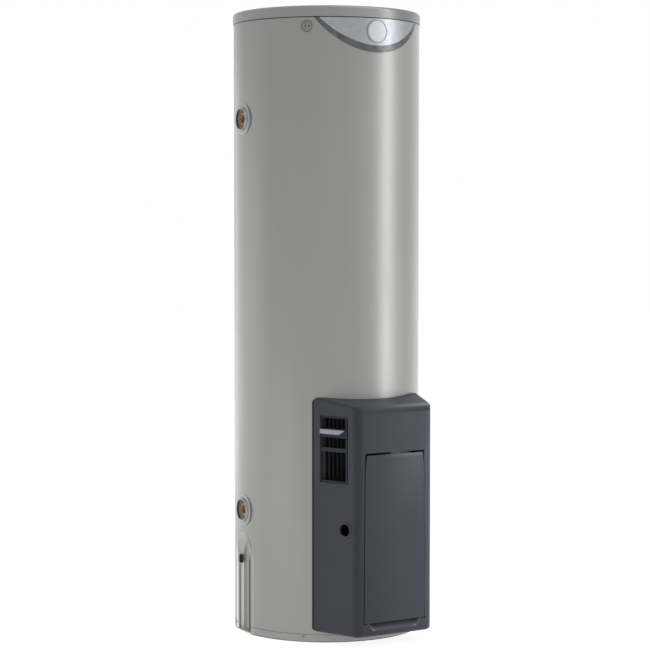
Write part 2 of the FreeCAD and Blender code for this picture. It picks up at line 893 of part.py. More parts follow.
def insulation_foam():
    top = overall_height - lid_wall - foam_top_gap
    foam = upright(foam_radius, tank_bottom + seat_gap, jacket_top)
    foam = foam.fuse(upright(jacket_radius - lid_shelf_width - lid_foam_gap, jacket_top - cut_past, top))
    near, far = tank_radius - wall_cut, jacket_radius + wall_cut
    holes = [tank_envelope(seat_gap), channel_space,
             forward(0, flue_outlet_height, flue_radius + seat_gap, near, far),
             forward(0, gas_axis_height, probe_shank_radius + seat_gap, near, far),
             forward(0, gas_axis_height, probe_spud_radius + seat_gap, near,
                     tank_radius + probe_spud_length + seat_gap),
             upright(anode_pocket_radius, tank_shoulder, overall_height, anode_offset),
             spoke(foam_plug_angle, foam_plug_height, foam_plug_stem_radius + seat_gap,
                   jacket_radius - foam_plug_stem_length - seat_gap, far)]
    for height in (hot_port_height, cold_port_height):
        holes.append(spoke(port_angle, height, socket_radius + seat_gap, near, far))
        holes.append(spoke(port_angle, height, trim_hole_radius + trim_sleeve_wall + seat_gap,
                           jacket_radius - trim_sleeve_depth - seat_gap, far))
    return foam.cut(holes)


def base_insulation():
    outer = pan_radius - pan_rim_wall - seat_gap
    inner = tank_radius + seat_gap
    wall = ring(outer, inner, pan_floor, tank_bottom)
    low, high = skirt_opening_low - chamber_space_margin, skirt_opening_high + chamber_space_margin
    front = box(-jacket_opening_half, jacket_opening_half, -jacket_radius, -tank_radius / 2, low,
                jacket_opening_high)
    door_half = skirt_opening_half + chamber_door_margin + chamber_space_margin
    door_space = ring(chamber_door_outer() + seat_gap, tank_radius, low, high)
    door_space = door_space.common(box(-door_half, door_half, -jacket_radius, -tank_radius / 2, low, high))
    pocket = channel_hole(channel_wall + channel_hole_pocket)
    return wall.cut([front, channel_space, door_space, pocket] + screw_holes())


# Flueway: up the middle of the tank, over and down to the outlet in front
def flue_tube():
    leg = -flue_leg_spacing
    return pipe([V(0, 0, flue_bottom), V(0, 0, flue_top_axis), V(0, leg, flue_top_axis),
                 V(0, leg, flue_outlet_height), V(0, -box_back - flue_into_box, flue_outlet_height)],
                [flue_leg_spacing / 2, flue_leg_spacing / 2, flue_elbow_radius],
                flue_radius, flue_wall)


def flue_baffle():
    inner = flue_radius - flue_wall - seat_gap
    swing = math.sqrt(inner ** 2 - (baffle_width / 2) ** 2) - baffle_thickness / 2
    tall = flue_top_axis - baffle_top_room - baffle_bottom
    folds = 1 + int(tall / baffle_fold_height)
    line = [((-1) ** i * swing, baffle_bottom + i * baffle_fold_height) for i in range(folds)]
    right = [V(-baffle_width / 2, y + baffle_thickness / 2, z) for y, z in line]
    left = [V(-baffle_width / 2, y - baffle_thickness / 2, z) for y, z in reversed(line)]
    return face_of(right + left).extrude(V(baffle_width, 0, 0))


def flue_box():
    end_back = side_point(box_start, box_depth_from_side)
    end_front = side_point(box_end, box_depth_from_side)
    half_plan = [(-box_front_half, -box_front), (end_front.x, end_front.y), (end_back.x, end_back.y),
                 (-box_back_half, -box_back)]
    plan = half_plan + [(-x, y) for x, y in reversed(half_plan)]
    outer = prism(plan, box_low, box_high)
    inner_face = face_of([V(x, y, box_low + box_wall) for x, y in plan]).makeOffset2D(-box_wall)
    inner_height = box_high - box_low - 2 * box_wall
    inner = inner_face.extrude(UP * inner_height)
    edge = box_wall + box_mouth_margin
    mouth = in_side_frame(Part.makeBox(box_end - box_start - 2 * edge, 2 * box_wall + 2 * edge,
                                       inner_height,
                                       V(box_start + edge, box_depth_from_side - box_wall - edge,
                                         box_low + box_wall)))
    flue_hole = forward(0, flue_outlet_height, flue_radius + weld_gap, box_back - cut_past,
                        box_back + 2 * cut_past)
    return outer.cut([inner, mouth, mirrored(mouth), flue_hole])


# Pieces in the tank
def anode_rod():
    rod_part = upright(anode_radius, anode_bottom, spud_bottom, anode_offset)
    thread = upright(anode_thread_radius, spud_bottom, spud_top, anode_offset)
    plug = hexagon(anode_plug_radius, anode_plug_height, V(anode_offset, 0, spud_top), UP)
    return fuse([rod_part, thread, plug])


def hot_pickup_tube():
    out = radial(port_angle)
    start = out * socket_inner_end + UP * hot_port_height
    corner = out * pickup_reach + UP * hot_port_height
    return pipe([start, corner, out * pickup_reach + UP * pickup_top], [pickup_bend],
                pickup_radius, pickup_wall)


def inlet_diffuser():
    out = radial(port_angle)
    start = socket_inner_end - diffuser_length
    r, w = diffuser_radius, diffuser_wall
    body = lathe([(0, start), (r, start), (r, socket_inner_end), (r - w, socket_inner_end),
                  (r - w, start + w), (0, start + w)], UP * cold_port_height, out)
    slots = []
    for i in range(diffuser_slots):
        at = start + diffuser_first_slot + i * (diffuser_length - diffuser_first_slot) / diffuser_slots
        slot = Part.makeBox(diffuser_slot_width, 4 * r, r, V(-diffuser_slot_width / 2, -2 * r, 0))
        slot.Placement = FreeCAD.Placement(out * at + UP * (cold_port_height - r / 2),
                                           FreeCAD.Rotation(UP, port_angle - 90))
        slots.append(slot)
    return body.cut(slots)


# Combustion chamber, its closing plate and the burner
def chamber_pad():
    return upright(pad_radius, pan_floor, pad_top)


def chamber_door_outer():
    return tank_radius + seat_gap + chamber_door_wall


def chamber_screw_places():
    x = skirt_opening_half + chamber_screw_inset
    angle = math.degrees(math.asin(x / tank_radius))
    lows = skirt_opening_low - chamber_screw_inset
    highs = skirt_opening_high + chamber_screw_inset
    return [(a, z) for a in (-angle, angle) for z in (lows, highs)]


def chamber_screw_holes():
    return [spoke(a, z, screw_shank_radius + seat_gap / 2, tank_radius - wall_cut, tank_radius + wall_cut)
            for a, z in chamber_screw_places()]


def chamber_door():
    half = skirt_opening_half + chamber_door_margin
    outer = chamber_door_outer()
    plate = ring(outer, tank_radius + seat_gap, skirt_opening_low - chamber_door_margin,
                 skirt_opening_high + chamber_door_margin)
    plate = plate.common(box(-half, half, -jacket_radius, -tank_radius / 2, 0, tank_bottom))
    face = tank_radius + sight_frame_proud
    inner_face = tank_radius - sight_frame_inside
    seat_radius = sight_radius + sight_lip
    plate = plate.fuse(forward(sight_x, sight_z, seat_radius + sight_frame_wall, inner_face, face))
    slot = box(electrode_x - lead_slot_margin, pilot_x + lead_slot_margin, -jacket_radius,
               -tank_radius + wall_cut, pilot_run_height - lead_slot_margin,
               lead_run_height + lead_slot_margin)
    holes = [forward(0, burner_axis_height, manifold_radius + seat_gap, inner_face, jacket_radius), slot,
             forward(sight_x, sight_z, sight_radius, inner_face - cut_past, jacket_radius),
             forward(sight_x, sight_z, seat_radius, face - sight_thickness, jacket_radius)]
    return plate.cut(holes + chamber_screw_holes())


def sight_glass():
    face = tank_radius + sight_frame_proud
    return forward(sight_x, sight_z, sight_radius + sight_lip, face - sight_thickness, face)


def chamber_door_screws():
    outer = chamber_door_outer()
    return Part.makeCompound([
        screw(radial(a) * outer + UP * z, radial(a), screw_head_radius, screw_head_height,
              screw_shank_radius, screw_length) for a, z in chamber_screw_places()])


def burner_head():
    low, high = burner_bottom, burner_bottom + burner_height
    r, w, neck = burner_radius, burner_wall, venturi_radius - venturi_wall
    base, rise = r - burner_base_in, low + burner_base_rise
    top, drop = r - burner_top_in, high - burner_top_drop
    pan = lathe([(neck, low), (base, low), (r, rise), (r, drop), (top, high), (0, high), (0, high - w),
                 (top - w, high - w), (r - w, drop - w), (r - w, rise), (base - w, low + w),
                 (neck, low + w)], V(0, 0, 0), UP)
    port_height = (rise + drop) / 2
    ports = [spoke(360.0 * i / burner_ports, port_height, burner_port_radius, base, r + cut_past)
             for i in range(burner_ports)]
    return pan.cut(ports)


def burner_venturi():
    axis = burner_axis_height
    return pipe([V(0, -venturi_mouth, axis), V(0, 0, axis), V(0, 0, burner_bottom)], [venturi_bend],
                venturi_radius, venturi_wall)


def burner_support():
    half, w = support_width / 2, support_wall
    y0, y1 = support_offset, support_offset + w
    wall = box(-half, half, y0, y1, pad_top, burner_bottom)
    foot = box(-half, half, y0, y0 + support_flange, pad_top, pad_top + w)
    top = box(-half, half, y0, y0 + support_flange, burner_bottom - w, burner_bottom)
    return fuse([wall, foot, top])


def gas_manifold_tube():
    axis = burner_axis_height
    return pipe([V(0, -manifold_out, valve_low), V(0, -manifold_out, axis), V(0, -manifold_end, axis)],
                [manifold_bend], manifold_radius, manifold_wall)


def gas_orifice():
    start = V(0, -manifold_end, burner_axis_height)
    body = hexagon(orifice_radius, orifice_length, start, V(0, 1, 0))
    jet = Part.makeCylinder(orifice_jet_radius, orifice_length, start, V(0, 1, 0))
    return body.cut(jet)


def pilot_burner():
    y = -pilot_group_out
    low, high = pilot_plate_height, pilot_plate_height + pilot_plate_thickness
    plate = box(electrode_x - pilot_plate_margin, -venturi_radius + pilot_plate_lap,
                y - pilot_plate_half_depth, y + pilot_plate_half_depth, low, high)
    plate = plate.cut([upright(ceramic_radius, pad_top, high + cut_past, electrode_x, y),
                       upright(thermocouple_tip_radius, pad_top, high + cut_past, thermocouple_x, y),
                       forward(0, burner_axis_height, venturi_radius, 0, jacket_radius)])
    hood = upright(pilot_radius, pilot_base, pilot_top, pilot_x, y)
    hollow = upright(pilot_bore, pilot_base + pilot_hood_wall, pilot_top - pilot_hood_wall, pilot_x, y)
    flame_port = box(pilot_x - pilot_port_half, pilot_x + pilot_port_half, y, y + 2 * pilot_radius,
                     pilot_port_low, pilot_port_high)
    return plate.fuse(hood).cut([hollow, flame_port])


def pilot_tube():
    x = pilot_x
    down = manifold_out - pilot_tube_step
    return rod([V(x, -down, valve_low), V(x, -down, pilot_run_height),
                V(x, -pilot_group_out, pilot_run_height), V(x, -pilot_group_out, pilot_base)],
               [pilot_bend, pilot_bend], pilot_tube_radius)


def thermocouple():
    x = thermocouple_x
    down = manifold_out - pilot_tube_step
    lead = rod([V(x, -down, valve_low), V(x, -down, pilot_run_height),
                V(x, -pilot_group_out, pilot_run_height), V(x, -pilot_group_out, tip_base)],
               [pilot_bend, pilot_bend], thermocouple_lead_radius)
    tip = upright(thermocouple_tip_radius, tip_base, tip_top, x, -pilot_group_out)
    return lead.fuse(tip)


def igniter_electrode():
    x, y = electrode_x, -pilot_group_out
    ceramic = upright(ceramic_radius, tip_base, ceramic_top, x, y)
    wire = rod([V(x, y, ceramic_top - root_depth), V(x, y, tip_top),
                V(x + electrode_reach, y, tip_top)],
               [electrode_bend], electrode_radius)
    return ceramic.fuse(wire)


def igniter_lead():
    x, y = electrode_x, -pilot_group_out
    run = lead_run_height
    return rod([V(igniter_x, -igniter_back, igniter_height),
                V(igniter_x, -lead_drop_out, igniter_height), V(igniter_x, -lead_drop_out, run),
                V(x, -lead_drop_out, run), V(x, y, run), V(x, y, tip_base)],
               [lead_bend] * 4, lead_radius)


# Front cover: a tapered box that meets the jacket, with a sloping top
def side_direction():
    back = V(-cover_back_half, -cover_back_out, 0)
    front = V(-cover_front_half, -cover_front, 0)
    return (front - back).normalize()


def side_inward():
    along = side_direction()
    return V(-along.y, along.x, 0)


def side_point(distance, depth, height=0.0):
    """A point on the cover's left side, by the distance from the jacket and the depth inwards."""
    back = V(-cover_back_half, -cover_back_out, 0)
    return back + side_direction() * distance + side_inward() * depth + UP * height


def in_side_frame(shape):
    """Moves a shape drawn as (distance, depth, height) to the cover's left side."""
    along, inward = side_direction(), side_inward()
    placed = shape.copy()
    placed.Placement = FreeCAD.Placement(FreeCAD.Matrix(
        along.x, inward.x, 0, -cover_back_half,
        along.y, inward.y, 0, -cover_back_out,
        0, 0, 1, 0, 0, 0, 0, 1))
    return placed


def cover_top_at(y, inset):
    drop = inset * math.sqrt(1 + cover_top_slope ** 2)
    return cover_front_top + cover_top_slope * (y + cover_front) - drop


def cover_form(inset):
    """The cover's outer form, made smaller on each outside face by the inset."""
    along = side_direction()
    start = side_point(0, inset)
    front_y, back_y = -cover_front + inset, -jacket_radius / 2
    low, tall = cover_bottom + inset, overall_height / 2
    wide, far = -2 * cover_back_half, -2 * cover_front
    across = V(-2 * wide, 0, 0)

    def at(y):
        return start.x + along.x / along.y * (y - start.y)

    def on_top(y):
        return V(wide, y, cover_top_at(y, inset))

    form = prism([(at(back_y), back_y), (at(front_y), front_y), (-at(front_y), front_y),
                  (-at(back_y), back_y)], low, tall)
    corners = edges_where(form, lambda e: abs(e.BoundBox.ZLength - (tall - low)) < 0.01
                          and abs(e.CenterOfMass.y - front_y) < 0.01)
    form = form.makeFillet(cover_corner_radius - inset, corners)
    above = face_of([on_top(far), on_top(0), V(wide, 0, 2 * tall), V(wide, far, 2 * tall)])
    form = form.cut(above.extrude(across))

    def upper(e):
        middle = e.CenterOfMass
        return (abs(middle.z - cover_top_at(middle.y, inset)) < edge_search
                and middle.y < back_y - edge_search)

    def lower(e):
        return abs(e.BoundBox.ZMax - low) < 0.01 and e.CenterOfMass.y < back_y - edge_search

    form = form.makeFillet(cover_top_edge - inset, edges_where(form, upper))
    form = form.makeFillet(cover_bottom_edge - inset, edges_where(form, lower))
    back = -cover_back_out + inset
    profile = face_of([V(wide, far, low), V(wide, back, low), on_top(back), on_top(far)]).extrude(across)
    for z, radius in ((low, cover_back_corner_bottom), (cover_top_at(back, inset), cover_back_corner_top)):
        back_edges = edges_where(profile, lambda e: e.BoundBox.XLength > abs(wide)
                                 and abs(e.CenterOfMass.y - back) + abs(e.CenterOfMass.z - z) < 0.01)
        profile = profile.makeFillet(radius - inset, back_edges)
    return form.common(profile)


def door_wire(side, top_side, top, bottom, y):
    """The door's outline at a plane, made wider by side, and at its top by top_side."""
    z0, z1 = door_bottom - bottom, door_top + top
    zs = door_top - door_shoulder_drop
    xb, xs, xt = door_half_bottom + side, door_half_shoulder + side, door_half_top + top_side
    xm, zm = xs - (xs - xt) * shoulder_curve_in, zs + (z1 - zs) * shoulder_curve_up
    edges = [Part.LineSegment(V(-xb, y, z0), V(xb, y, z0)).toShape(),
             Part.LineSegment(V(xb, y, z0), V(xs, y, zs)).toShape(),
             arc_edge(V(xs, y, zs), V(xm, y, zm), V(xt, y, z1)),
             Part.LineSegment(V(xt, y, z1), V(-xt, y, z1)).toShape(),
             arc_edge(V(-xt, y, z1), V(-xm, y, zm), V(-xs, y, zs)),
             Part.LineSegment(V(-xs, y, zs), V(-xb, y, z0)).toShape()]
    return Part.Wire(edges)


def door_outline(side, top_side, top, bottom, y, depth):
    return Part.Face(door_wire(side, top_side, top, bottom, y)).extrude(V(0, depth, 0))


def opening_bevel_form():
    """The bevel round the door's opening, wider at the cover's face than behind it."""
    reach, past = opening_bevel, 2 * opening_bevel
    gaps = (door_side_gap, door_top_corner_gap, door_top_gap, door_bottom_gap)
    back = door_wire(*[gap - reach for gap in gaps], -cover_front + past)
    front = door_wire(*[gap + past for gap in gaps], -cover_front - reach)
    return Part.makeLoft([back, front], True, True)


def rim_groove():
    """The shallow groove across the front, below the cover's rounded top edge."""
    high = cover_front_top - rim_groove_below_top + rim_groove_height
    half = cover_front_half - cover_corner_radius / 2
    return box(-half, half, -cover_front - cut_past, -cover_front + rim_groove_depth,
               high - rim_groove_height, high)


def scoop_form(grow):
    """The finger scoop below the door, made larger all round by grow."""
    y0 = -cover_front - cut_past
    y1 = -cover_front + scoop_depth + grow
    low, bend, high = scoop_bottom - grow, scoop_slope_top - grow, scoop_top + grow
    wide = -cover_front_half
    side = face_of([V(wide, y0, low), V(wide, -cover_front, low), V(wide, y1, bend), V(wide, y1, high),
                    V(wide, y0, high)]).extrude(V(-2 * wide, 0, 0))
    a, b = scoop_half_bottom + grow, scoop_half_top + grow
    front = face_of([V(-a, y0, low), V(a, y0, low), V(b, y0, bend + scoop_lip), V(b, y0, high),
                     V(-b, y0, high), V(-b, y0, bend + scoop_lip)]).extrude(V(0, 2 * scoop_depth, 0))
    return side.common(front)


def hinge_arms():
    z0, z1 = hinge_height - hinge_arm_below, hinge_height + hinge_arm_above
    x0 = door_half_bottom + door_side_gap + hinge_arm_inset
    arm = box(x0, x0 + hinge_arm_width, -cover_inner - root_depth, -hinge_out + hinge_arm_below, z0, z1)
    return arm.fuse(mirrored(arm))


def hinge_bar(radius, half):
    return Part.makeCylinder(radius, 2 * half, V(-half, -hinge_out, hinge_height), V(1, 0, 0))


def hinge_pin_half():
    return door_half_bottom + door_side_gap + hinge_arm_inset + hinge_arm_width


def ledges():
    """Strips behind the door's two long edges, which it closes against."""
    back = -cover_inner + seat_gap
    inner = door_half_shoulder - ledge_width
    outer = door_half_bottom + door_side_gap
    strip = box(inner, outer + ledge_width, back, back + ledge_thickness, ledge_bottom, ledge_top)
    root = box(outer + root_depth, outer + ledge_width, -cover_inner - root_depth,
               back + ledge_thickness, ledge_bottom, ledge_top)
    one = strip.fuse(root)
    return one.fuse(mirrored(one))


def recess_window():
    return in_side_frame(Part.makeBox(recess_end - recess_start, cover_wall + 2 * cut_past,
                                      recess_high - recess_low, V(recess_start, -cut_past, recess_low)))


def grommet_axis():
    """How far along the cover's side the gas inlet's axis passes through it."""
    return (gas_axis_out - cover_back_out) / -side_direction().y


def grommet_cylinder(radius, start, end):
    origin = side_point(grommet_axis(), start, gas_axis_height)
    return Part.makeCylinder(radius, end - start, origin, side_inward())


def bracket_screw_cuts(radius):
    return [upright(radius, cover_bottom - cut_past, cover_bottom + wall_cut, *screw_spot(side))
            for side in (-1, 1)]


def screw_spot(side):
    out = radial(side * bracket_angle) * (jacket_radius + bracket_reach / 2)
    return out.x, out.y


def front_cover():
    outer = cover_form(0)
    shell = outer.cut(cover_form(cover_wall))
    inside = cover_form(cover_wall / 2)
    scoop_wall = scoop_form(cover_wall).common(inside)
    shell = shell.fuse([scoop_wall, hinge_arms().common(inside), ledges().common(inside)])
    window = recess_window()
    opening = door_outline(door_side_gap, door_top_corner_gap, door_top_gap, door_bottom_gap,
                           -cover_front - cut_past, cover_wall + cut_past)
    cuts = [upright(jacket_radius + cover_jacket_gap, 0, overall_height), opening, scoop_form(0),
            window, mirrored(window), grommet_cylinder(grommet_hole_radius, -cut_past, 2 * cut_past),
            opening_bevel_form(), rim_groove(),
            hinge_bar(hinge_pin_radius + running_gap, hinge_pin_half() + seat_gap)]
    return shell.cut(cuts + bracket_screw_cuts(bracket_screw_radius + seat_gap))


def access_door():
    panel = door_outline(0, 0, 0, 0, -cover_front, cover_wall)
    bottom = edges_where(panel, lambda e: e.BoundBox.YLength > cover_wall - 0.1
                         and abs(e.CenterOfMass.z - door_bottom) < 0.01)
    panel = panel.makeFillet(door_corner_radius, bottom)
    panel = panel.makeFillet(door_edge_round, edges_where(
        panel, lambda e: abs(e.BoundBox.YMax + cover_front) < 0.01))
    back = -cover_inner
    ribs = [box(x - door_rib_width / 2, x + door_rib_width / 2, back - root_depth,
                back + door_rib_height, door_rib_start, ledge_top)
            for x in (-door_rib_offset, 0, door_rib_offset)]
    x1 = door_half_bottom + door_side_gap + hinge_arm_inset - hinge_eye_inset
    x0 = x1 - hinge_eye_width
    eye = Part.makeCylinder(hinge_eye_radius, hinge_eye_width, V(x0, -hinge_out, hinge_height), V(1, 0, 0))
    web = box(x0, x1, back - root_depth, -hinge_out, hinge_height - hinge_eye_radius,
              hinge_height + hinge_eye_radius - hinge_web_step)
    behind_panel = door_outline(0, 0, 0, 0, -cover_front, 2 * hinge_inset)
    eye = eye.fuse(web).common(behind_panel)
    lug_low = door_top - stop_lug_below_top
    lug = box(stop_lug_low_x, stop_lug_high_x, back + seat_gap, back + seat_gap + stop_lug_thickness,
              lug_low, door_top + stop_lug_above_door)
    lug_root = box(stop_lug_low_x, stop_lug_high_x, back - root_depth, back + 2 * seat_gap, lug_low,
                   door_top - stop_lug_step)
    door = fuse([panel] + ribs + [eye, mirrored(eye), lug, lug_root])
    return door.cut(hinge_bar(hinge_pin_radius + running_gap, cover_front_half))


def door_hinge_pin():
    return hinge_bar(hinge_pin_radius, hinge_pin_half())


# Side vents
def vent_grille():
    s0, s1 = recess_start - grille_flange, recess_end + grille_flange
    z0, z1 = recess_low - grille_flange, recess_high + grille_flange
    plate = Part.makeBox(s1 - s0, grille_wall, z1 - z0, V(s0, cover_wall, z0))
    vents = [(air_vent_low, air_vent_high), (lower_vent_low, lower_vent_high),
             (upper_vent_low, upper_vent_high)]
    for low, high in vents:
        plate = plate.cut(Part.makeBox(vent_end - vent_start, 2 * (cover_wall + grille_wall), high - low,
                                       V(vent_start, 0, low)))
    plate = plate.cut(Part.makeBox(shadow_slot_end - shadow_slot_start, 2 * (cover_wall + grille_wall),
                                   upper_vent_high - air_vent_low,
                                   V(shadow_slot_start, 0, air_vent_low)))
    fins = []
    count = round((vent_end - vent_start) / fin_pitch)
    for low, high in vents:
        for i in range(1, count):
            s = vent_start + i * (vent_end - vent_start) / count
            fins.append(Part.makeBox(fin_thickness, fin_depth, high - low + 2 * fin_root,
                                     V(s - fin_thickness / 2, cover_wall + fin_below_face,
                                       low - fin_root)))
    return in_side_frame(plate.fuse(fins).removeSplitter())


def flue_deflector():
    out, w = -deflector_out, deflector_wall
    back = cover_wall
    s0, s1, s2 = deflector_start, deflector_top_end, deflector_bottom_end
    low, high = deflector_low, deflector_high
    profile = face_of([V(s0, back, high), V(s0, out, high), V(s0, out, low), V(s0, out + w, low),
                       V(s0, out + w, high - w), V(s0, back, high - w)])
    lip = profile.extrude(V(s1 - s0, 0, 0))
    front = out - cut_past
    corner = face_of([V(s2, front, low - w), V(s1 + w, front, low - w), V(s1 + w, front, high + w),
                      V(s1, front, high - w)]).extrude(V(0, 2 * cut_past, 0))
    return in_side_frame(lip.cut(corner))


def gas_pipe_grommet():
    outer = grommet_cylinder(grommet_flange_radius, -grommet_flange, 0)
    face = side_point(grommet_axis(), -grommet_flange, gas_axis_height)
    outer = outer.makeFillet(grommet_round, round_edges_at(outer, face))
    neck = grommet_cylinder(grommet_hole_radius - seat_gap / 2, -root_depth, cover_wall + root_depth)
    inner = grommet_cylinder(grommet_flange_radius - grommet_inner_step, cover_wall,
                             cover_wall + grommet_flange)
    body = fuse([outer, neck, inner])
    return body.cut(grommet_cylinder(grommet_bore_radius, -cut_past, 2 * cut_past))


# Gas control and what hangs on it
def gas_control_body():
    body = box(-valve_half_width, valve_half_width, -valve_face, -valve_back, valve_low, valve_high)
    body = body.makeFillet(valve_edge, body.Edges)
    spindles = [forward(x, height, spindle_radius, valve_face - root_depth, valve_face + spindle_length)
                for x, height in ((knob_x, knob_height), (0, dial_height))]
    inlet = Part.makeCylinder(inlet_bore_radius, wall_cut,
                              V(-valve_half_width, -gas_axis_out, gas_axis_height), V(1, 0, 0))
    outlet = upright(manifold_radius - manifold_wall, valve_low - cut_past, valve_low + wall_cut, 0,
                     -manifold_out)
    well = button_well(pilot_button_x, knob_height, pilot_button_radius, valve_face)
    return body.fuse(spindles).cut([well, inlet, outlet])


def turned_knob(x, height, radius, grip_half):
    """A round knob with a raised grip bar, on a spindle of the gas control."""
    start = valve_face + knob_stand_off
    base = forward(x, height, radius, start, start + knob_base_depth)
    base = base.makeFillet(knob_edge_round, round_edges_at(base, V(x, -start - knob_base_depth, height)))
    grip = box(x - knob_grip_width / 2, x + knob_grip_width / 2, -start - knob_depth, -start,
               height - grip_half, height + grip_half)
    hub = forward(x, height, radius * knob_hub_share, start, start + knob_depth - knob_hub_below_grip)
    spindle = forward(x, height, spindle_radius + running_gap, valve_face,
                      valve_face + spindle_hole_depth)
    return fuse([base, hub, grip]).cut(spindle)


def gas_control_knob():
    return turned_knob(knob_x, knob_height, knob_radius, knob_radius - knob_grip_inset)


def temperature_dial():
    return turned_knob(0, dial_height, dial_radius, dial_radius - dial_grip_inset)


def push_button(x, height, radius, face, proud):
    body = forward(x, height, radius, face - button_inside, face + proud)
    return body.makeFillet(button_round, round_edges_at(body, V(x, -face - proud, height)))


def button_well(x, height, radius, face):
    """The space that a button slides in, with room behind it at the end of its travel."""
    return forward(x, height, radius + button_gap, face - button_inside - button_travel - button_spare,
                   face + cut_past)


def pilot_button():
    return push_button(pilot_button_x, knob_height, pilot_button_radius, valve_face, pilot_button_proud)


def igniter_button():
    return push_button(igniter_x, igniter_height, igniter_button_radius, igniter_face,
                       pilot_button_proud)


def igniter_body():
    body = forward(igniter_x, igniter_height, igniter_radius, igniter_back, igniter_face)
    collar = forward(igniter_x, igniter_height, igniter_collar_radius,
                     igniter_face - igniter_collar_length, igniter_face)
    well = button_well(igniter_x, igniter_height, igniter_button_radius, igniter_face)
    return body.fuse(collar).cut(well)


def igniter_bracket():
    front = igniter_face - igniter_collar_length
    z0, z1 = igniter_height - igniter_plate_half, igniter_height + igniter_plate_half
    plate = box(valve_half_width, igniter_x + igniter_plate_half, -front, -front + igniter_plate, z0, z1)
    foot = box(valve_half_width, valve_half_width + igniter_plate, -front,
               -front + igniter_foot_length, z0, z1)
    return plate.fuse(foot).cut(forward(igniter_x, igniter_height, igniter_radius, igniter_back,
                                        igniter_face))


def gas_inlet_fitting():
    start = V(-valve_half_width, -gas_axis_out, gas_axis_height)
    out = V(-1, 0, 0)
    length = inlet_mouth - valve_half_width
    nut = hexagon(inlet_hex_radius, inlet_hex_length, start, out)
    barrel = Part.makeCylinder(inlet_radius, length, start, out)
    bore = Part.makeCylinder(inlet_bore_radius, length + 2 * cut_past, start - out * cut_past, out)
    thread = Part.makeCylinder(inlet_thread_radius, inlet_thread_length + cut_past,
                               start + out * (length - inlet_thread_length), out)
    return nut.fuse(barrel).cut([bore, thread])


def thermostat_probe():
    inner = tank_radius - tank_wall
    shank = forward(0, gas_axis_height, probe_shank_radius, inner, valve_back)
    tip = forward(0, gas_axis_height, probe_radius, probe_end, inner + root_depth)
    return shank.fuse(tip)


# What holds the cover
def cover_brackets():
    pieces = []
    low = cover_bottom + cover_wall + seat_gap
    for side in (-1, 1):
        leg = Part.makeBox(bracket_wall, bracket_width, bracket_leg, V(0, -bracket_width / 2, 0))
        shelf = Part.makeBox(bracket_reach, bracket_width, bracket_wall, V(0, -bracket_width / 2, 0))
        angle = side * bracket_angle
        piece = leg.fuse(shelf)
        piece.Placement = FreeCAD.Placement(radial(angle) * (jacket_radius + bracket_seat) + UP * low,
                                            FreeCAD.Rotation(UP, angle - 90))
        pieces.append(piece.cut(bracket_screw_cuts(bracket_screw_radius + seat_gap / 2)))
    return Part.makeCompound(pieces)


def cover_screws():
    return Part.makeCompound([
        screw(V(*screw_spot(side), cover_bottom), -UP, bracket_screw_head, bracket_screw_head_height,
              bracket_screw_radius, bracket_screw_length) for side in (-1, 1)])


save("jacket_shell", jacket_shell())
save("top_lid", top_lid())
save("base_band", base_band())
save("base_pan", base_pan())
save("base_screws", base_screws())
save("side_channel", side_channel())
save("port_trim_upper", port_trim(hot_port_height))
save("port_trim_lower", port_trim(cold_port_height))
save("hot_outlet_socket", socket(hot_port_height))
save("cold_inlet_socket", socket(cold_port_height))
save("crescent_plate", crescent_plate())
save("crescent_band", crescent_band())
save("badge_blank", badge_blank())
save("foam_fill_plug", foam_fill_plug())
save("storage_tank", storage_tank())
save("tank_skirt", tank_skirt())
save("insulation_foam", insulation_foam())
save("base_insulation", base_insulation())
save("flue_tube", flue_tube())
save("flue_baffle", flue_baffle())
save("flue_box", flue_box())
save("anode_rod", anode_rod())
save("hot_pickup_tube", hot_pickup_tube())
save("inlet_diffuser", inlet_diffuser())
save("chamber_pad", chamber_pad())
save("chamber_door", chamber_door())
save("chamber_door_screws", chamber_door_screws())
save("sight_glass", sight_glass())
save("burner_head", burner_head())
save("burner_venturi", burner_venturi())
save("burner_support", burner_support())
save("gas_manifold_tube", gas_manifold_tube())
save("gas_orifice", gas_orifice())
save("pilot_burner", pilot_burner())
save("pilot_tube", pilot_tube())
save("thermocouple", thermocouple())
save("igniter_electrode", igniter_electrode())
save("igniter_lead", igniter_lead())
save("front_cover", front_cover())
save("access_door", access_door())
save("door_hinge_pin", door_hinge_pin())
left_grille = vent_grille()
save("left_vent_grille", left_grille)
save("right_vent_grille", mirrored(left_grille))
left_deflector = flue_deflector()
save("left_flue_deflector", left_deflector)
save("right_flue_deflector", mirrored(left_deflector))
save("gas_pipe_grommet", gas_pipe_grommet())
save("gas_control_body", gas_control_body())
save("gas_control_knob", gas_control_knob())
save("temperature_dial", temperature_dial())
save("pilot_button", pilot_button())
save("igniter_body", igniter_body())
save("igniter_button", igniter_button())
save("igniter_bracket", igniter_bracket())
save("gas_inlet_fitting", gas_inlet_fitting())
save("thermostat_probe", thermostat_probe())
save("cover_brackets", cover_brackets())
save("cover_screws", cover_screws())
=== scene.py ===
import math

import bmesh
import bpy
from mathutils import Matrix, Vector


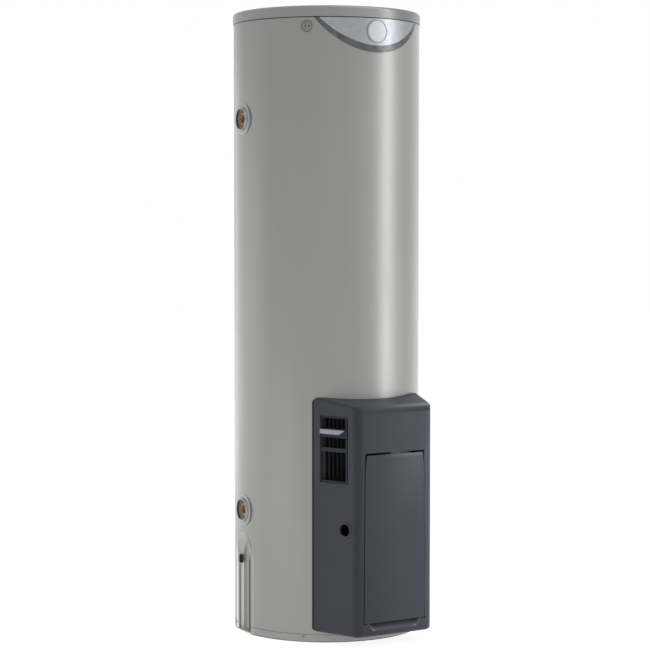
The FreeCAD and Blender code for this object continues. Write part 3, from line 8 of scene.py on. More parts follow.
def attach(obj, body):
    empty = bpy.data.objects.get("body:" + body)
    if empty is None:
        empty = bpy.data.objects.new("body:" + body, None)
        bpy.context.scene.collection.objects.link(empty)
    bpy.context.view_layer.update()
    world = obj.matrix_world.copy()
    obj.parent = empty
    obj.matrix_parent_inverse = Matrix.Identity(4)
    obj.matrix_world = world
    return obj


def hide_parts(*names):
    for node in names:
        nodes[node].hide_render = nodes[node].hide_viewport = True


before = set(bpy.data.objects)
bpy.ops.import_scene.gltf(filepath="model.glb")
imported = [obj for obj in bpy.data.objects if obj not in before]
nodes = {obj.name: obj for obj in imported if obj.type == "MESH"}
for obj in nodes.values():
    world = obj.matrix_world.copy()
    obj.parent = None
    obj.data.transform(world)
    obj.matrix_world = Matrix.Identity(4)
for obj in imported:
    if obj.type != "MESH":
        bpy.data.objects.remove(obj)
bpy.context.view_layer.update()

# Gas storage water heater: the looks. Everything is in metres, in the frame's own axes: +Z up,
# the front cover towards -Y, the water connections towards -X.


def box_of(name):
    """The lowest and the highest corner of a CAD node."""
    points = [vertex.co for vertex in nodes[name].data.vertices]
    return [Vector([end(point[axis] for point in points) for axis in range(3)]) for end in (min, max)]


def middle_height(name):
    low, high = box_of(name)
    return (low.z + high.z) / 2


# Camera, fitted to the photo: the direction it stands in, its distance and height, and what it sees
camera_azimuth = -31.8
camera_distance = 5.3359
camera_aside = 0.0038
camera_height = 1.0905
camera_tilt = 0.051
camera_range = 60.0
lens_millimetres = 108.8
sensor_millimetres = 36.0

# Light
sky_light = 0.62
backdrop_white = 1.0
floor_colour = (0.86, 0.86, 0.86)
floor_glow = 1.25
floor_mirrored_glow = 1.75
floor_glow_share = 0.72
floor_half = 14.0

# Where a finish changes its tone. A pair says where the change begins and where it ends.
soft_edge = 0.0004

# Lid, jacket and foot
lid_seam = box_of("top_lid")[0].z
lid_seam_width = 0.0022
lid_front = -0.05
lid_right_shade = (-0.02, 0.08)
foot_seam = 0.0206
foot_seam_width = 0.0014
jacket_foot_top = foot_seam + 0.001
foot_shadow_top = 0.0018
tray_edge_top = 0.0035

# Channel: out from the heater's axis, right of the channel's middle, and up
channel_azimuth = -95.0
channel_floor = 0.2326
channel_half = 0.042
channel_arch = 0.228
jacket_from = 0.2
tray_edge_from = channel_floor - 0.004
far_side = -0.02
far_edge_highlight = (channel_half + 0.005, channel_half + 0.016)
near_side = 0.012
near_fold_highlight = (channel_half, channel_half + 0.012)
near_fold_soft = 0.001
near_crease_shadow = (channel_half - 0.002, channel_half + 0.0012)
fold_top = (0.20, 0.235)
crease_top = (0.25, 0.265)
wall_side = -0.0336
wall_top = (0.172, 0.186)
wall_deep_highlight = (0.2340, 0.2405)
wall_middle_shade = (0.2380, 0.2410)
wall_edge_highlight = (0.2425, 0.2450)
channel_shadow_left = (-0.0035, -0.0015)
channel_shadow_right = (0.004, 0.024)
channel_shadow_top = (0.190, 0.214)

# Water connections, one above the other
port_azimuth = -94.4
upper_port = middle_height("port_trim_upper")
lower_port = middle_height("port_trim_lower")
ports_middle = (upper_port + lower_port) / 2
ports_apart = (upper_port - lower_port) / 2
port_hole = 0.0283
port_mouth = (0.2498, 0.2516)
port_mouth_side = (-0.014, -0.006)

# Badge and foam plug
badge_height = middle_height("badge_blank")
badge_ring = (0.0275, 0.0306)
plug_azimuth = -43.4
plug_height = middle_height("foam_fill_plug")
plug_ring_shade = (0.0128, 0.0155)
plug_face = 0.2500
plug_pits_reach = 0.0085

# Front cover: its outside, and how its side walls stand
cover_face = -box_of("front_cover")[0].y
cover_flank = 0.325
cover_back_half = 0.1625
cover_back_out = 0.19
# Where the painted shade on the jacket behind the front cover begins
behind_cover_shade_from = cover_back_out + 0.0055
cover_inside = (0.033, 0.618)
cover_jacket_edge = 0.2540
cover_top_shadow = 0.2590
cover_top_soft = 0.004
cover_side_inner = 0.120
cover_foot = 0.0322
cover_foot_soft = 0.0008
cover_side_across = 0.9526
cover_side_forward = -0.3038
fin_depth = 0.0031
fin_soft = 0.00008
front_left_shade = (-0.105, 0.0)
front_right_light = (0.0, 0.085)
front_corner_shade = (0.1065, 0.1150)
lip_right = (-0.05, 0.09)
lip_height = (0.6205, 0.65)
lip_depth = (-0.3365, -0.321)
lip_soft = 0.001
under_lip_right = (-0.05, 0.06)
under_lip_height = (0.6065, 0.6170)
under_lip_soft = 0.0015
under_lip_front = -0.33

# Door, its gap and the finger scoop under it
door_right = (-0.03, 0.06)
door_upper_light = (0.35, 0.485)
door_top_edge_highlight = (0.4900, 0.4940)
scoop_low = 0.044
scoop_high = 0.066
scoop_half_low = 0.064
scoop_spread = 0.773
scoop_half_at_floor = scoop_half_low - scoop_low * scoop_spread
scoop_past_end = 0.002
scoop_height = (scoop_low, 0.07)
scoop_depth = (-cover_face + 0.0008, -0.31)
scoop_end = (-0.005, 0.0015)
scoop_end_soft = 0.001
scoop_end_height = (scoop_low + 0.001, scoop_high)
scoop_end_front = -0.322
door_gap_side = (0.0885, 0.0965)
door_gap_height = (scoop_high + 0.002, 0.492)
door_gap_depth = (-cover_face + 0.0005, -cover_face + 0.02)

# Sizes of the dressed pieces
socket_outer = 0.018
socket_bore = 0.010
socket_inner_end = 0.196
socket_face = 0.250
socket_bevel = 0.001
thread_length = 0.016
thread_ridge = 0.01206
thread_root = 0.0132
thread_pitch = 0.001814
thread_columns = 96
thread_rows_per_turn = 8
thread_margin = 0.0001
mouth_cut = 0.35
cut_gain_per_turn = 0.5
control_face = 0.3154
knob_face = -box_of("gas_control_knob")[0].y
knob_centre = (-0.010, 0.337)
dial_centre = (0.0, 0.281)
knob_pointer = (0.005, 0.0142)
dial_pointer = (0.008, 0.0202)
knob_tick = (0.0182, 0.0205)
dial_tick = (0.0262, 0.0290)
knob_tick_angles = (0, 60, 120)
dial_tick_angles = range(-120, 121, 30)
mark_height = 0.0002
mark_half_width = 0.0006
sharp_from = 38.0


# Shader helpers. A socket knows the node tree that it belongs to
def add(tree, kind, **values):
    node = tree.nodes.new(kind)
    for key, value in values.items():
        setattr(node, key, value)
    return node


def feed(socket, value):
    """Links a socket to another one, or gives it a fixed number or colour."""
    if hasattr(value, "links"):
        socket.id_data.links.new(value, socket)
    elif socket.type == "RGBA":
        socket.default_value = (*value, 1.0)
    else:
        socket.default_value = value


def surface(name, metallic=0.0, roughness=0.5, **sockets):
    """A material whose fixed values stand on the shader's own sockets."""
    material = bpy.data.materials.new(name)
    material.use_nodes = True
    shader = shader_of(material)
    shader.inputs["Metallic"].default_value = metallic
    shader.inputs["Roughness"].default_value = roughness
    for socket, value in sockets.items():
        shader.inputs[socket.replace("_", " ").title().replace("Ior", "IOR")].default_value = value
    return material


def shader_of(material):
    return material.node_tree.nodes["Principled BSDF"]


def place(material, stretch=(1, 1, 1)):
    """Object coordinates, stretched along each axis."""
    coordinates = add(material.node_tree, "ShaderNodeTexCoord")
    mapping = add(material.node_tree, "ShaderNodeMapping")
    mapping.inputs["Scale"].default_value = stretch
    feed(mapping.inputs["Vector"], coordinates.outputs["Object"])
    return mapping.outputs["Vector"]


def noise(material, scale, detail=2.0, stretch=(1, 1, 1), roughness=0.5):
    node = add(material.node_tree, "ShaderNodeTexNoise")
    for socket, value in (("Scale", scale), ("Detail", detail), ("Roughness", roughness),
                          ("Vector", place(material, stretch))):
        feed(node.inputs[socket], value)
    return node.outputs["Fac"]


def cells(material, scale):
    node = add(material.node_tree, "ShaderNodeTexVoronoi")
    feed(node.inputs["Scale"], scale)
    feed(node.inputs["Vector"], place(material))
    return node.outputs["Distance"]


def between(factor, low, high, start=0.3, end=0.7):
    """The factor stretched to a number from low to high."""
    node = add(factor.id_data, "ShaderNodeMapRange")
    for socket, value in (("Value", factor), ("From Min", start), ("From Max", end),
                          ("To Min", low), ("To Max", high)):
        feed(node.inputs[socket], value)
    return node.outputs["Result"]


def blend_colours(factor, low, high, start=0.3, end=0.7):
    mix = add(factor.id_data, "ShaderNodeMix", data_type="RGBA")
    feed(mix.inputs["Factor"], between(factor, 0.0, 1.0, start, end))
    feed(mix.inputs["A"], low)
    feed(mix.inputs["B"], high)
    return next(output for output in mix.outputs if output.type == "RGBA")


def times(colour, factor):
    return tuple(part * factor for part in colour)


def paint(material, colour, shade=None):
    """The shader's colour. A shade is a function that changes it from place to place on the heater."""
    feed(shader_of(material).inputs["Base Color"], shade(material, colour) if shade else colour)


def gloss(material, factor, low, high):
    feed(shader_of(material).inputs["Roughness"], between(factor, low, high))


def relief(material, *layers):
    """Bumps of (height, strength, depth in metres), one on the other."""
    normal = None
    for height, strength, depth in layers:
        bump = add(material.node_tree, "ShaderNodeBump")
        feed(bump.inputs["Strength"], strength)
        feed(bump.inputs["Distance"], depth)
        feed(bump.inputs["Height"], height)
        if normal is not None:
            feed(bump.inputs["Normal"], normal)
        normal = bump.outputs["Normal"]
    feed(shader_of(material).inputs["Normal"], normal)


def worked(operation, first, second=0.0):
    node = add(first.id_data, "ShaderNodeMath", operation=operation)
    feed(node.inputs[0], first)
    feed(node.inputs[1], second)
    return node.outputs["Value"]


def combined(first, first_factor, second, second_factor):
    return worked("ADD", worked("MULTIPLY", first, first_factor), worked("MULTIPLY", second, second_factor))


def all_of(first, *others):
    for other in others:
        first = worked("MULTIPLY", first, other)
    return first


# Masks, which are 1 where they hold and 0 elsewhere
def rising(value, start, end):
    return between(value, 0.0, 1.0, start, end)


def falling(value, start, end):
    return between(value, 1.0, 0.0, start, end)


def above(value, limit, soft=soft_edge):
    return rising(value, limit - soft, limit + soft)


def below(value, limit, soft=soft_edge):
    return falling(value, limit - soft, limit + soft)


def inside(value, low, high, soft=soft_edge):
    return all_of(above(value, low, soft), below(value, high, soft))


def parts_of(material):
    """The X, Y and Z of Object coordinates, each as a number."""
    split = add(material.node_tree, "ShaderNodeSeparateXYZ")
    feed(split.inputs["Vector"], place(material))
    return split.outputs["X"], split.outputs["Y"], split.outputs["Z"]


def seen_from(material, azimuth):
    """How far out a point lies in this direction, how far to the right, and its height."""
    x, y, height = parts_of(material)
    angle = math.radians(azimuth)
    return (combined(x, math.sin(angle), y, -math.cos(angle)),
            combined(x, math.cos(angle), y, math.sin(angle)), height)


def reach(right, up):
    """How far a point lies from the middle that both distances are measured from."""
    return worked("SQRT", worked("ADD", worked("MULTIPLY", right, right), worked("MULTIPLY", up, up)))


# Finishes
def metallic_paint(name, low, high, metallic=0.62, shade=None):
    """Satin metallic paint: slow drifts of shade under fine flake, and a faint orange peel."""
    material = surface(name, metallic=metallic, coat_weight=0.12, coat_roughness=0.28)
    flake = noise(material, 2600.0, 2.0)
    drift = noise(material, 2.2, 3.0, (1.0, 1.0, 0.35))
    slow = blend_colours(drift, low, high)
    paint(material, blend_colours(flake, slow, times(high, 1.22), 0.45, 0.85), shade)
    gloss(material, noise(material, 5.0, 4.0, (1.0, 1.0, 0.3)), 0.34, 0.42)
    relief(material, (noise(material, 420.0, 1.0), 0.25, 0.00006), (flake, 0.12, 0.00002))
    return material


def moulded_plastic(name, low, high, rough=(0.38, 0.5), specular=0.5, shade=None):
    """Satin moulding with a fine spark-eroded texture."""
    material = surface(name, specular_ior_level=specular)
    grain = noise(material, 1500.0, 3.0)
    drift = noise(material, 4.0, 3.0)
    slow = blend_colours(drift, low, high)
    paint(material, blend_colours(grain, slow, times(high, 1.25), 0.5, 0.9), shade)
    gloss(material, noise(material, 9.0, 4.0), *rough)
    relief(material, (grain, 0.35, 0.00006), (noise(material, 38.0, 2.0), 0.12, 0.00025))
    return material


def brushed_metal(name, low, high, stretch, rough=(0.26, 0.42), shade=None):
    """Metal with fine drawn or brushed lines, which run along the axes of small stretch."""
    material = surface(name, metallic=1.0)
    lines = noise(material, 900.0, 2.0, stretch)
    blotch = noise(material, 60.0, 4.0)
    slow = blend_colours(blotch, low, high)
    paint(material, blend_colours(lines, slow, times(low, 0.82), 0.5, 0.9), shade)
    gloss(material, lines, *rough)
    relief(material, (lines, 0.3, 0.00004))
    return material


def cast_metal(name, low, high, rough=0.45):
    """Die-cast metal with a fine sandy skin."""
    material = surface(name, metallic=0.85, roughness=rough)
    sand = noise(material, 1100.0, 4.0)
    paint(material, blend_colours(noise(material, 45.0, 4.0), low, high))
    gloss(material, sand, rough - 0.06, rough + 0.1)
    relief(material, (sand, 0.4, 0.00012), (cells(material, 300.0), 0.15, 0.0002))
    return material


def fibre(name, low, high):
    """Pressed fibre or foam, soft and uneven."""
    material = surface(name, roughness=0.95, sheen_weight=0.2)
    strands = noise(material, 700.0, 6.0, (1.0, 1.0, 3.0), 0.7)
    paint(material, blend_colours(strands, low, high))
    relief(material, (strands, 0.6, 0.0008), (cells(material, 160.0), 0.3, 0.0012))
    return material


def rubber_skin(name, low, high):
    """Rubber, silicone or glaze: even and slightly dull."""
    material = surface(name, roughness=0.6)
    skin = noise(material, 900.0, 3.0)
    paint(material, blend_colours(noise(material, 60.0, 3.0), low, high))
    gloss(material, skin, 0.5, 0.68)
    relief(material, (skin, 0.35, 0.0001))
    return material


def clear_glass(name):
    material = surface(name, roughness=0.05, transmission_weight=0.9, ior=1.5)
    paint(material, blend_colours(noise(material, 70.0, 3.0), (0.82, 0.9, 0.88), (0.9, 0.95, 0.94)))
    gloss(material, noise(material, 140.0, 4.0), 0.03, 0.12)
    return material


# Shades: the tones that a finish takes from its place on the heater, most of them painted light and shade
tones = {
    "lid_joint_shadow": (0.012, 0.012, 0.012),
    "lid_right_shade": (0.150, 0.150, 0.148),
    "far_edge_highlight": (0.64, 0.64, 0.63),
    "near_fold_highlight": (0.31, 0.31, 0.30),
    "near_crease_shadow": (0.06, 0.06, 0.055),
    "tray_edge_light": (0.66, 0.66, 0.61),
    # Painted shade on the jacket behind the front cover
    "behind_cover_shade": (0.02, 0.02, 0.02),
    "jacket_foot_shade": (0.05, 0.05, 0.05),
    "foot_joint_shade": (0.10, 0.10, 0.10),
    "foot_shadow": (0.05, 0.05, 0.05),
    "badge_ring": (0.27, 0.265, 0.27),
    "undercoat": (0.315, 0.32, 0.288),
    "wall_edge_highlight": (0.60, 0.60, 0.59),
    "wall_middle_shade": (0.15, 0.15, 0.145),
    "wall_deep_highlight": (0.62, 0.62, 0.60),
    "channel_shadow": (0.014, 0.014, 0.012),
    "lit_sleeve": (0.70, 0.70, 0.67),
    "sleeve_mouth_shadow": (0.11, 0.11, 0.108),
    "plug_ring_shade": (0.12, 0.12, 0.115),
    "plug_pits_shade": (0.02, 0.02, 0.02),
    "front_left_shade": (0.026, 0.029, 0.040),
    "front_right_light": (0.044, 0.049, 0.065),
    "front_corner_shade": (0.005, 0.005, 0.006),
    "door_upper_light": (0.068, 0.073, 0.090),
    "door_top_edge_highlight": (0.13, 0.13, 0.145),
    "lip": (0.15, 0.155, 0.175),
    "under_lip": (0.024, 0.027, 0.035),
    "cover_outline_shadow": (0.004, 0.004, 0.005),
    "cover_top_shadow": (0.008, 0.009, 0.011),
    "door_gap": (0.24, 0.25, 0.28),
    "scoop": (0.072, 0.077, 0.095),
    "scoop_end": (0.19, 0.195, 0.21),
    "fins": (0.007, 0.008, 0.010),
}


def layered(colour, *layers):
    """The colour under layers of (mask, tone), the last one on top."""
    for mask, tone in layers:
        colour = blend_colours(mask, colour, tones[tone], 0.0, 1.0)
    return colour


def under_lid(material, colour):
    """A painted shadow line along the joint under the lid's lower edge."""
    height = parts_of(material)[2]
    return layered(colour, (inside(height, lid_seam - lid_seam_width, lid_seam), "lid_joint_shadow"))


def lid_shade(material, colour):
    """Painted shade: the rolled edge of the lid is darker towards its right front, where the lamp's
    highlight falls.
    """
    x, y = parts_of(material)[:2]
    return layered(colour, (all_of(below(y, lid_front), rising(x, *lid_right_shade)), "lid_right_shade"))


def beside_channel(material, colour):
    """Painted highlight and shadow on the pressed edge round the channel: bright on its far side, dark and
    then bright on the near one.
    """
    out, right, height = seen_from(material, channel_azimuth)
    away = reach(right, worked("MAXIMUM", worked("SUBTRACT", height, channel_arch), 0.0))
    outside = above(out, jacket_from)
    low_down = falling(height, *fold_top)
    far = all_of(outside, low_down, below(right, far_side), falling(away, *far_edge_highlight))
    near = all_of(outside, above(right, near_side))
    fold = all_of(near, low_down, inside(away, *near_fold_highlight, soft=near_fold_soft))
    crease = all_of(near, falling(height, *crease_top), inside(away, *near_crease_shadow))
    return layered(colour, (far, "far_edge_highlight"), (fold, "near_fold_highlight"), (crease, "near_crease_shadow"))


def jacket_shade(material, colour):
    """Painted shadow along the joint lines, painted shade on the jacket behind the front cover, and the
    painted highlight and shadow on the edge round the channel.
    """
    y, height = parts_of(material)[1:]
    shaded_behind_cover = all_of(below(y, -behind_cover_shade_from), inside(height, *cover_inside))
    colour = layered(beside_channel(material, colour), (shaded_behind_cover, "behind_cover_shade"),
                     (below(height, jacket_foot_top), "jacket_foot_shade"))
    return under_lid(material, colour)


def foot_shade(material, colour):
    """Painted shade in the joint under the jacket, a painted contact shadow along the band's bottom edge,
    and the edge round the channel.
    """
    height = parts_of(material)[2]
    return layered(beside_channel(material, colour),
                   (inside(height, foot_seam - foot_seam_width, foot_seam), "foot_joint_shade"),
                   (below(height, foot_shadow_top), "foot_shadow"))


def tray_shade(material, colour):
    """Painted light on the tray's edge under the channel, which lies in shade."""
    x, y, height = parts_of(material)
    edge = all_of(below(height, tray_edge_top), above(reach(x, y), tray_edge_from))
    return layered(colour, (edge, "tray_edge_light"))


def channel_shade(material, colour):
    """A greenish undercoat on the channel's floor, painted highlights and shade on its far wall, and the
    painted shadow that falls beside it.
    """
    out, right, height = seen_from(material, channel_azimuth)
    floor = below(out, channel_floor)
    wall = all_of(below(right, wall_side), falling(height, *wall_top))
    shadow = all_of(floor, falling(height, *channel_shadow_top), rising(right, *channel_shadow_left),
                    falling(right, *channel_shadow_right))
    return layered(colour, (floor, "undercoat"),
                   (all_of(wall, rising(out, *wall_edge_highlight)), "wall_edge_highlight"),
                   (all_of(wall, rising(out, *wall_middle_shade), falling(out, *wall_edge_highlight)), "wall_middle_shade"),
                   (all_of(wall, falling(out, *wall_deep_highlight)), "wall_deep_highlight"), (shadow, "channel_shadow"))


def trim_shade(material, colour):
    """Painted light in the sleeves of the water connections, which lie in shade, and a painted shadow at
    the left of their mouths.
    """
    out, right, height = seen_from(material, port_azimuth)
    from_middle = worked("ABSOLUTE", worked("SUBTRACT", height, ports_middle))
    lit_sleeve = below(reach(right, worked("SUBTRACT", from_middle, ports_apart)), port_hole)
    mouth = all_of(lit_sleeve, rising(out, *port_mouth), falling(right, *port_mouth_side))
    return layered(colour, (lit_sleeve, "lit_sleeve"), (mouth, "sleeve_mouth_shadow"))


def badge_shade(material, colour):
    """The bare badge, with a darker ring on its raised rim."""
    x, y, height = parts_of(material)
    away = reach(x, worked("SUBTRACT", height, badge_height))
    return layered(colour, (inside(away, *badge_ring), "badge_ring"))


def plug_shade(material, colour):
    """Painted shade in the ring round the foam plug and in its two pits."""
    out, right, height = seen_from(material, plug_azimuth)
    away = reach(right, worked("SUBTRACT", height, plug_height))
    pits = all_of(below(out, plug_face), below(away, plug_pits_reach))
    return layered(colour, (inside(away, *plug_ring_shade), "plug_ring_shade"), (pits, "plug_pits_shade"))


def front_shade(material, colour):
    """Painted light and shade: the front of the cover is lighter towards its right, and near black past its
    rounded right corner.
    """
    x, y = parts_of(material)[:2]
    facing = below(y, -cover_flank)
    return layered(colour, (all_of(facing, falling(x, *front_left_shade)), "front_left_shade"),
                   (all_of(facing, rising(x, *front_right_light)), "front_right_light"),
                   (all_of(facing, rising(x, *front_corner_shade)), "front_corner_shade"))


def door_shade(material, colour):
    """Painted light: the door is lighter towards its upper right, with a painted highlight along its
    rounded top edge.
    """
    x, y, height = parts_of(material)
    right = all_of(below(y, -cover_flank), rising(x, *door_right))
    return layered(front_shade(material, colour),
                   (all_of(right, rising(height, *door_upper_light)), "door_upper_light"),
                   (all_of(right, rising(height, *door_top_edge_highlight)), "door_top_edge_highlight"))


def cover_shade(material, colour):
    """Painted light and shade: a highlight on the rolled lip with shade under it, shadows round the cover,
    light in the door's gap, and light on the finger scoop with highlights at its ends.
    """
    x, y, height = parts_of(material)
    aside, away = worked("ABSOLUTE", x), reach(x, y)
    lip = all_of(rising(x, *lip_right), inside(height, *lip_height, soft=lip_soft),
                 inside(y, *lip_depth, soft=lip_soft))
    under_lip = all_of(rising(x, *under_lip_right), below(y, under_lip_front),
                       inside(height, *under_lip_height, soft=under_lip_soft))
    behind = all_of(below(aside, cover_side_inner), below(away, cover_top_shadow, cover_top_soft))
    gap = all_of(inside(x, *door_gap_side), inside(y, *door_gap_depth), inside(height, *door_gap_height))
    scoop_half = worked("ADD", worked("MULTIPLY", height, scoop_spread), scoop_half_at_floor)
    past_scoop = worked("SUBTRACT", aside, scoop_half)
    sunk = all_of(below(past_scoop, scoop_past_end), inside(y, *scoop_depth), inside(height, *scoop_height))
    end = all_of(inside(past_scoop, *scoop_end, soft=scoop_end_soft), below(y, scoop_end_front),
                 inside(height, *scoop_end_height))
    return layered(front_shade(material, colour), (lip, "lip"), (under_lip, "under_lip"),
                   (below(away, cover_jacket_edge), "cover_outline_shadow"), (behind, "cover_top_shadow"),
                   (below(height, cover_foot, cover_foot_soft), "cover_outline_shadow"), (gap, "door_gap"),
                   (sunk, "scoop"), (end, "scoop_end"))


def grille_shade(material, colour):
    """The fins stand near black in the shadow of the vents' frame."""
    x, y = parts_of(material)[:2]
    out = combined(worked("ABSOLUTE", x), cover_side_across, y, cover_side_forward)
    face = cover_back_half * cover_side_across - cover_back_out * cover_side_forward
    return layered(colour, (below(out, face - fin_depth, fin_soft), "fins"))


finishes = {
    "jacket": metallic_paint("jacket_paint", (0.234, 0.234, 0.226), (0.261, 0.261, 0.256),
                             shade=jacket_shade),
    "foot": metallic_paint("foot_band_paint", (0.236, 0.236, 0.230), (0.262, 0.262, 0.258),
                           shade=foot_shade),
    "lid": metallic_paint("lid_paint", (0.240, 0.241, 0.236), (0.262, 0.263, 0.260), 0.35, lid_shade),
    "channel": metallic_paint("channel_paint", (0.35, 0.35, 0.34), (0.38, 0.38, 0.37), 0.5, channel_shade),
    "tray": metallic_paint("tray_zinc", (0.30, 0.30, 0.30), (0.36, 0.36, 0.36), 0.8, tray_shade),
    "fastener": brushed_metal("zinc_fastener", (0.46, 0.46, 0.45), (0.58, 0.58, 0.57), (1, 1, 6)),
    "screw": metallic_paint("painted_screw", (0.17, 0.17, 0.165), (0.21, 0.21, 0.205), 0.5),
    "trim": metallic_paint("port_trim_silver", (0.27, 0.27, 0.27), (0.33, 0.33, 0.33), 0.45, trim_shade),
    "brass": brushed_metal("machined_brass", (0.21, 0.118, 0.062), (0.29, 0.17, 0.092), (1, 6, 6)),
    "plate": brushed_metal("crescent_silver", (0.265, 0.283, 0.305), (0.31, 0.33, 0.352), (1, 1, 30),
                           (0.38, 0.41), under_lid),
    "band": brushed_metal("crescent_gunmetal", (0.085, 0.082, 0.082), (0.13, 0.127, 0.128), (1, 1, 30),
                          shade=under_lid),
    "badge": metallic_paint("badge_silver", (0.47, 0.48, 0.50), (0.52, 0.53, 0.55), 0.12, badge_shade),
    "plug": moulded_plastic("plug_grey", (0.225, 0.225, 0.22), (0.265, 0.265, 0.26), (0.4, 0.5),
                            shade=plug_shade),
    "nylon": moulded_plastic("dip_tube_white", (0.62, 0.62, 0.60), (0.70, 0.70, 0.68)),
    "enamel": metallic_paint("tank_enamel", (0.02, 0.03, 0.05), (0.03, 0.04, 0.07), 0.2),
    "foam": fibre("yellow_foam", (0.55, 0.42, 0.20), (0.75, 0.62, 0.34)),
    "wool": fibre("mineral_fibre", (0.60, 0.58, 0.52), (0.82, 0.80, 0.74)),
    "dark_wool": fibre("dark_glass_fibre", (0.11, 0.105, 0.10), (0.16, 0.155, 0.145)),
    "steel": brushed_metal("plain_steel", (0.34, 0.34, 0.35), (0.46, 0.46, 0.47), (1, 1, 12)),
    "sooted": moulded_plastic("sooted_steel", (0.010, 0.010, 0.011), (0.018, 0.018, 0.019), (0.7, 0.85)),
    "magnesium": cast_metal("cast_magnesium", (0.40, 0.40, 0.41), (0.52, 0.52, 0.53)),
    "chamber": moulded_plastic("heatproof_black", (0.025, 0.025, 0.026), (0.04, 0.04, 0.042), (0.6, 0.8)),
    "glass": clear_glass("sight_glass_clear"),
    "copper": brushed_metal("drawn_copper", (0.58, 0.27, 0.16), (0.72, 0.36, 0.22), (6, 6, 1)),
    "ceramic": rubber_skin("glazed_ceramic", (0.74, 0.71, 0.64), (0.82, 0.79, 0.72)),
    "lead": rubber_skin("silicone_lead", (0.30, 0.045, 0.025), (0.38, 0.07, 0.04)),
    "cover": moulded_plastic("cover_slate", (0.033, 0.037, 0.049), (0.040, 0.045, 0.058), (0.42, 0.54),
                             0.25, cover_shade),
    "door": moulded_plastic("door_slate", (0.033, 0.037, 0.049), (0.040, 0.045, 0.058), (0.42, 0.54),
                            0.25, door_shade),
    "grille": moulded_plastic("grille_slate", (0.034, 0.038, 0.048), (0.043, 0.047, 0.058), (0.6, 0.75),
                              0.1, grille_shade),
    "deflector": brushed_metal("deflector_bright", (0.20, 0.20, 0.23), (0.25, 0.25, 0.285), (1, 1, 20),
                               (0.36, 0.48)),
    "rubber": rubber_skin("black_rubber", (0.012, 0.012, 0.013), (0.024, 0.024, 0.026)),
    "casting": cast_metal("valve_casting", (0.36, 0.37, 0.38), (0.50, 0.51, 0.52)),
    "knob": moulded_plastic("knob_black", (0.012, 0.012, 0.014), (0.022, 0.022, 0.025), (0.3, 0.42)),
    "button": moulded_plastic("button_red", (0.42, 0.025, 0.018), (0.52, 0.04, 0.028), (0.28, 0.38)),
    "mark": moulded_plastic("mark_white", (0.62, 0.62, 0.60), (0.72, 0.72, 0.70), (0.4, 0.5)),
}

worn_by = {
    "jacket": ["jacket_shell"],
    "foot": ["base_band"],
    "lid": ["top_lid"],
    "channel": ["side_channel"],
    "tray": ["base_pan"],
    "screw": ["base_screws"],
    "fastener": ["chamber_door_screws", "door_hinge_pin", "igniter_bracket", "cover_brackets",
                 "cover_screws"],
    "trim": ["port_trim_upper", "port_trim_lower"],
    "brass": ["hot_outlet_socket", "cold_inlet_socket", "gas_orifice", "gas_inlet_fitting",
              "thermostat_probe"],
    "plate": ["crescent_plate"],
    "band": ["crescent_band"],
    "badge": ["badge_blank"],
    "plug": ["foam_fill_plug"],
    "nylon": ["hot_pickup_tube", "inlet_diffuser"],
    "enamel": ["storage_tank", "tank_skirt"],
    "foam": ["insulation_foam"],
    "wool": ["chamber_pad"],
    "dark_wool": ["base_insulation"],
    "steel": ["flue_tube", "flue_baffle", "burner_head", "burner_venturi", "burner_support",
              "pilot_burner"],
    "sooted": ["flue_box"],
    "magnesium": ["anode_rod"],
    "chamber": ["chamber_door"],
    "glass": ["sight_glass"],
    "copper": ["gas_manifold_tube", "pilot_tube", "thermocouple"],
    "ceramic": ["igniter_electrode"],
    "lead": ["igniter_lead"],
    "cover": ["front_cover"],
    "door": ["access_door"],
    "grille": ["left_vent_grille", "right_vent_grille"],
    "deflector": ["left_flue_deflector", "right_flue_deflector"],
    "rubber": ["gas_pipe_grommet"],
    "casting": ["gas_control_body"],
    "knob": ["gas_control_knob", "temperature_dial", "igniter_body"],
    "button": ["pilot_button", "igniter_button"],
}


def dress_nodes():
    for finish, names in worn_by.items():
        for name in names:
            for slot in nodes[name].material_slots:
                slot.material = finishes[finish]


# Pieces made again with finer forms
def around(azimuth, distance, height):
    angle = math.radians(azimuth)
    return Vector((math.sin(angle) * distance, -math.cos(angle) * distance, height))


def finished(name, shape, finish, smooth=True):
    bmesh.ops.recalc_face_normals(shape, faces=shape.faces)
    mesh = bpy.data.meshes.new(name)
    shape.to_mesh(mesh)
    shape.free()
    mesh.materials.append(finishes[finish])
    if smooth:
        mesh.shade_smooth()
        mesh.set_sharp_from_angle(angle=math.radians(sharp_from))
    piece = bpy.data.objects.new(name, mesh)
    bpy.context.scene.collection.objects.link(piece)
    return piece


def socket_outline():
    """The outline of a socket as (distance from the heater's axis, radius), with its thread not yet cut."""
    rows = int(thread_rows_per_turn * thread_length / thread_pitch)
    shoulder = socket_face - thread_length
    return ([(socket_inner_end, socket_bore), (socket_inner_end, socket_outer),
             (socket_face - socket_bevel, socket_outer), (socket_face, socket_outer - socket_bevel),
             (socket_face, thread_root + socket_bevel)]
            + [(socket_face - thread_length * row / rows, thread_root) for row in range(rows + 1)]
            + [(shoulder - socket_bevel, socket_bore + socket_bevel),
               (shoulder - 2 * socket_bevel, socket_bore)])


def thread_radius(out, turn):
    """A sharp internal thread that fades out at the socket's mouth."""
    phase = (out / thread_pitch + turn) % 1.0
    cut = min(1.0, (socket_face - out) / thread_pitch * cut_gain_per_turn + mouth_cut)
    return thread_root - (thread_root - thread_ridge) * abs(2.0 * phase - 1.0) * cut


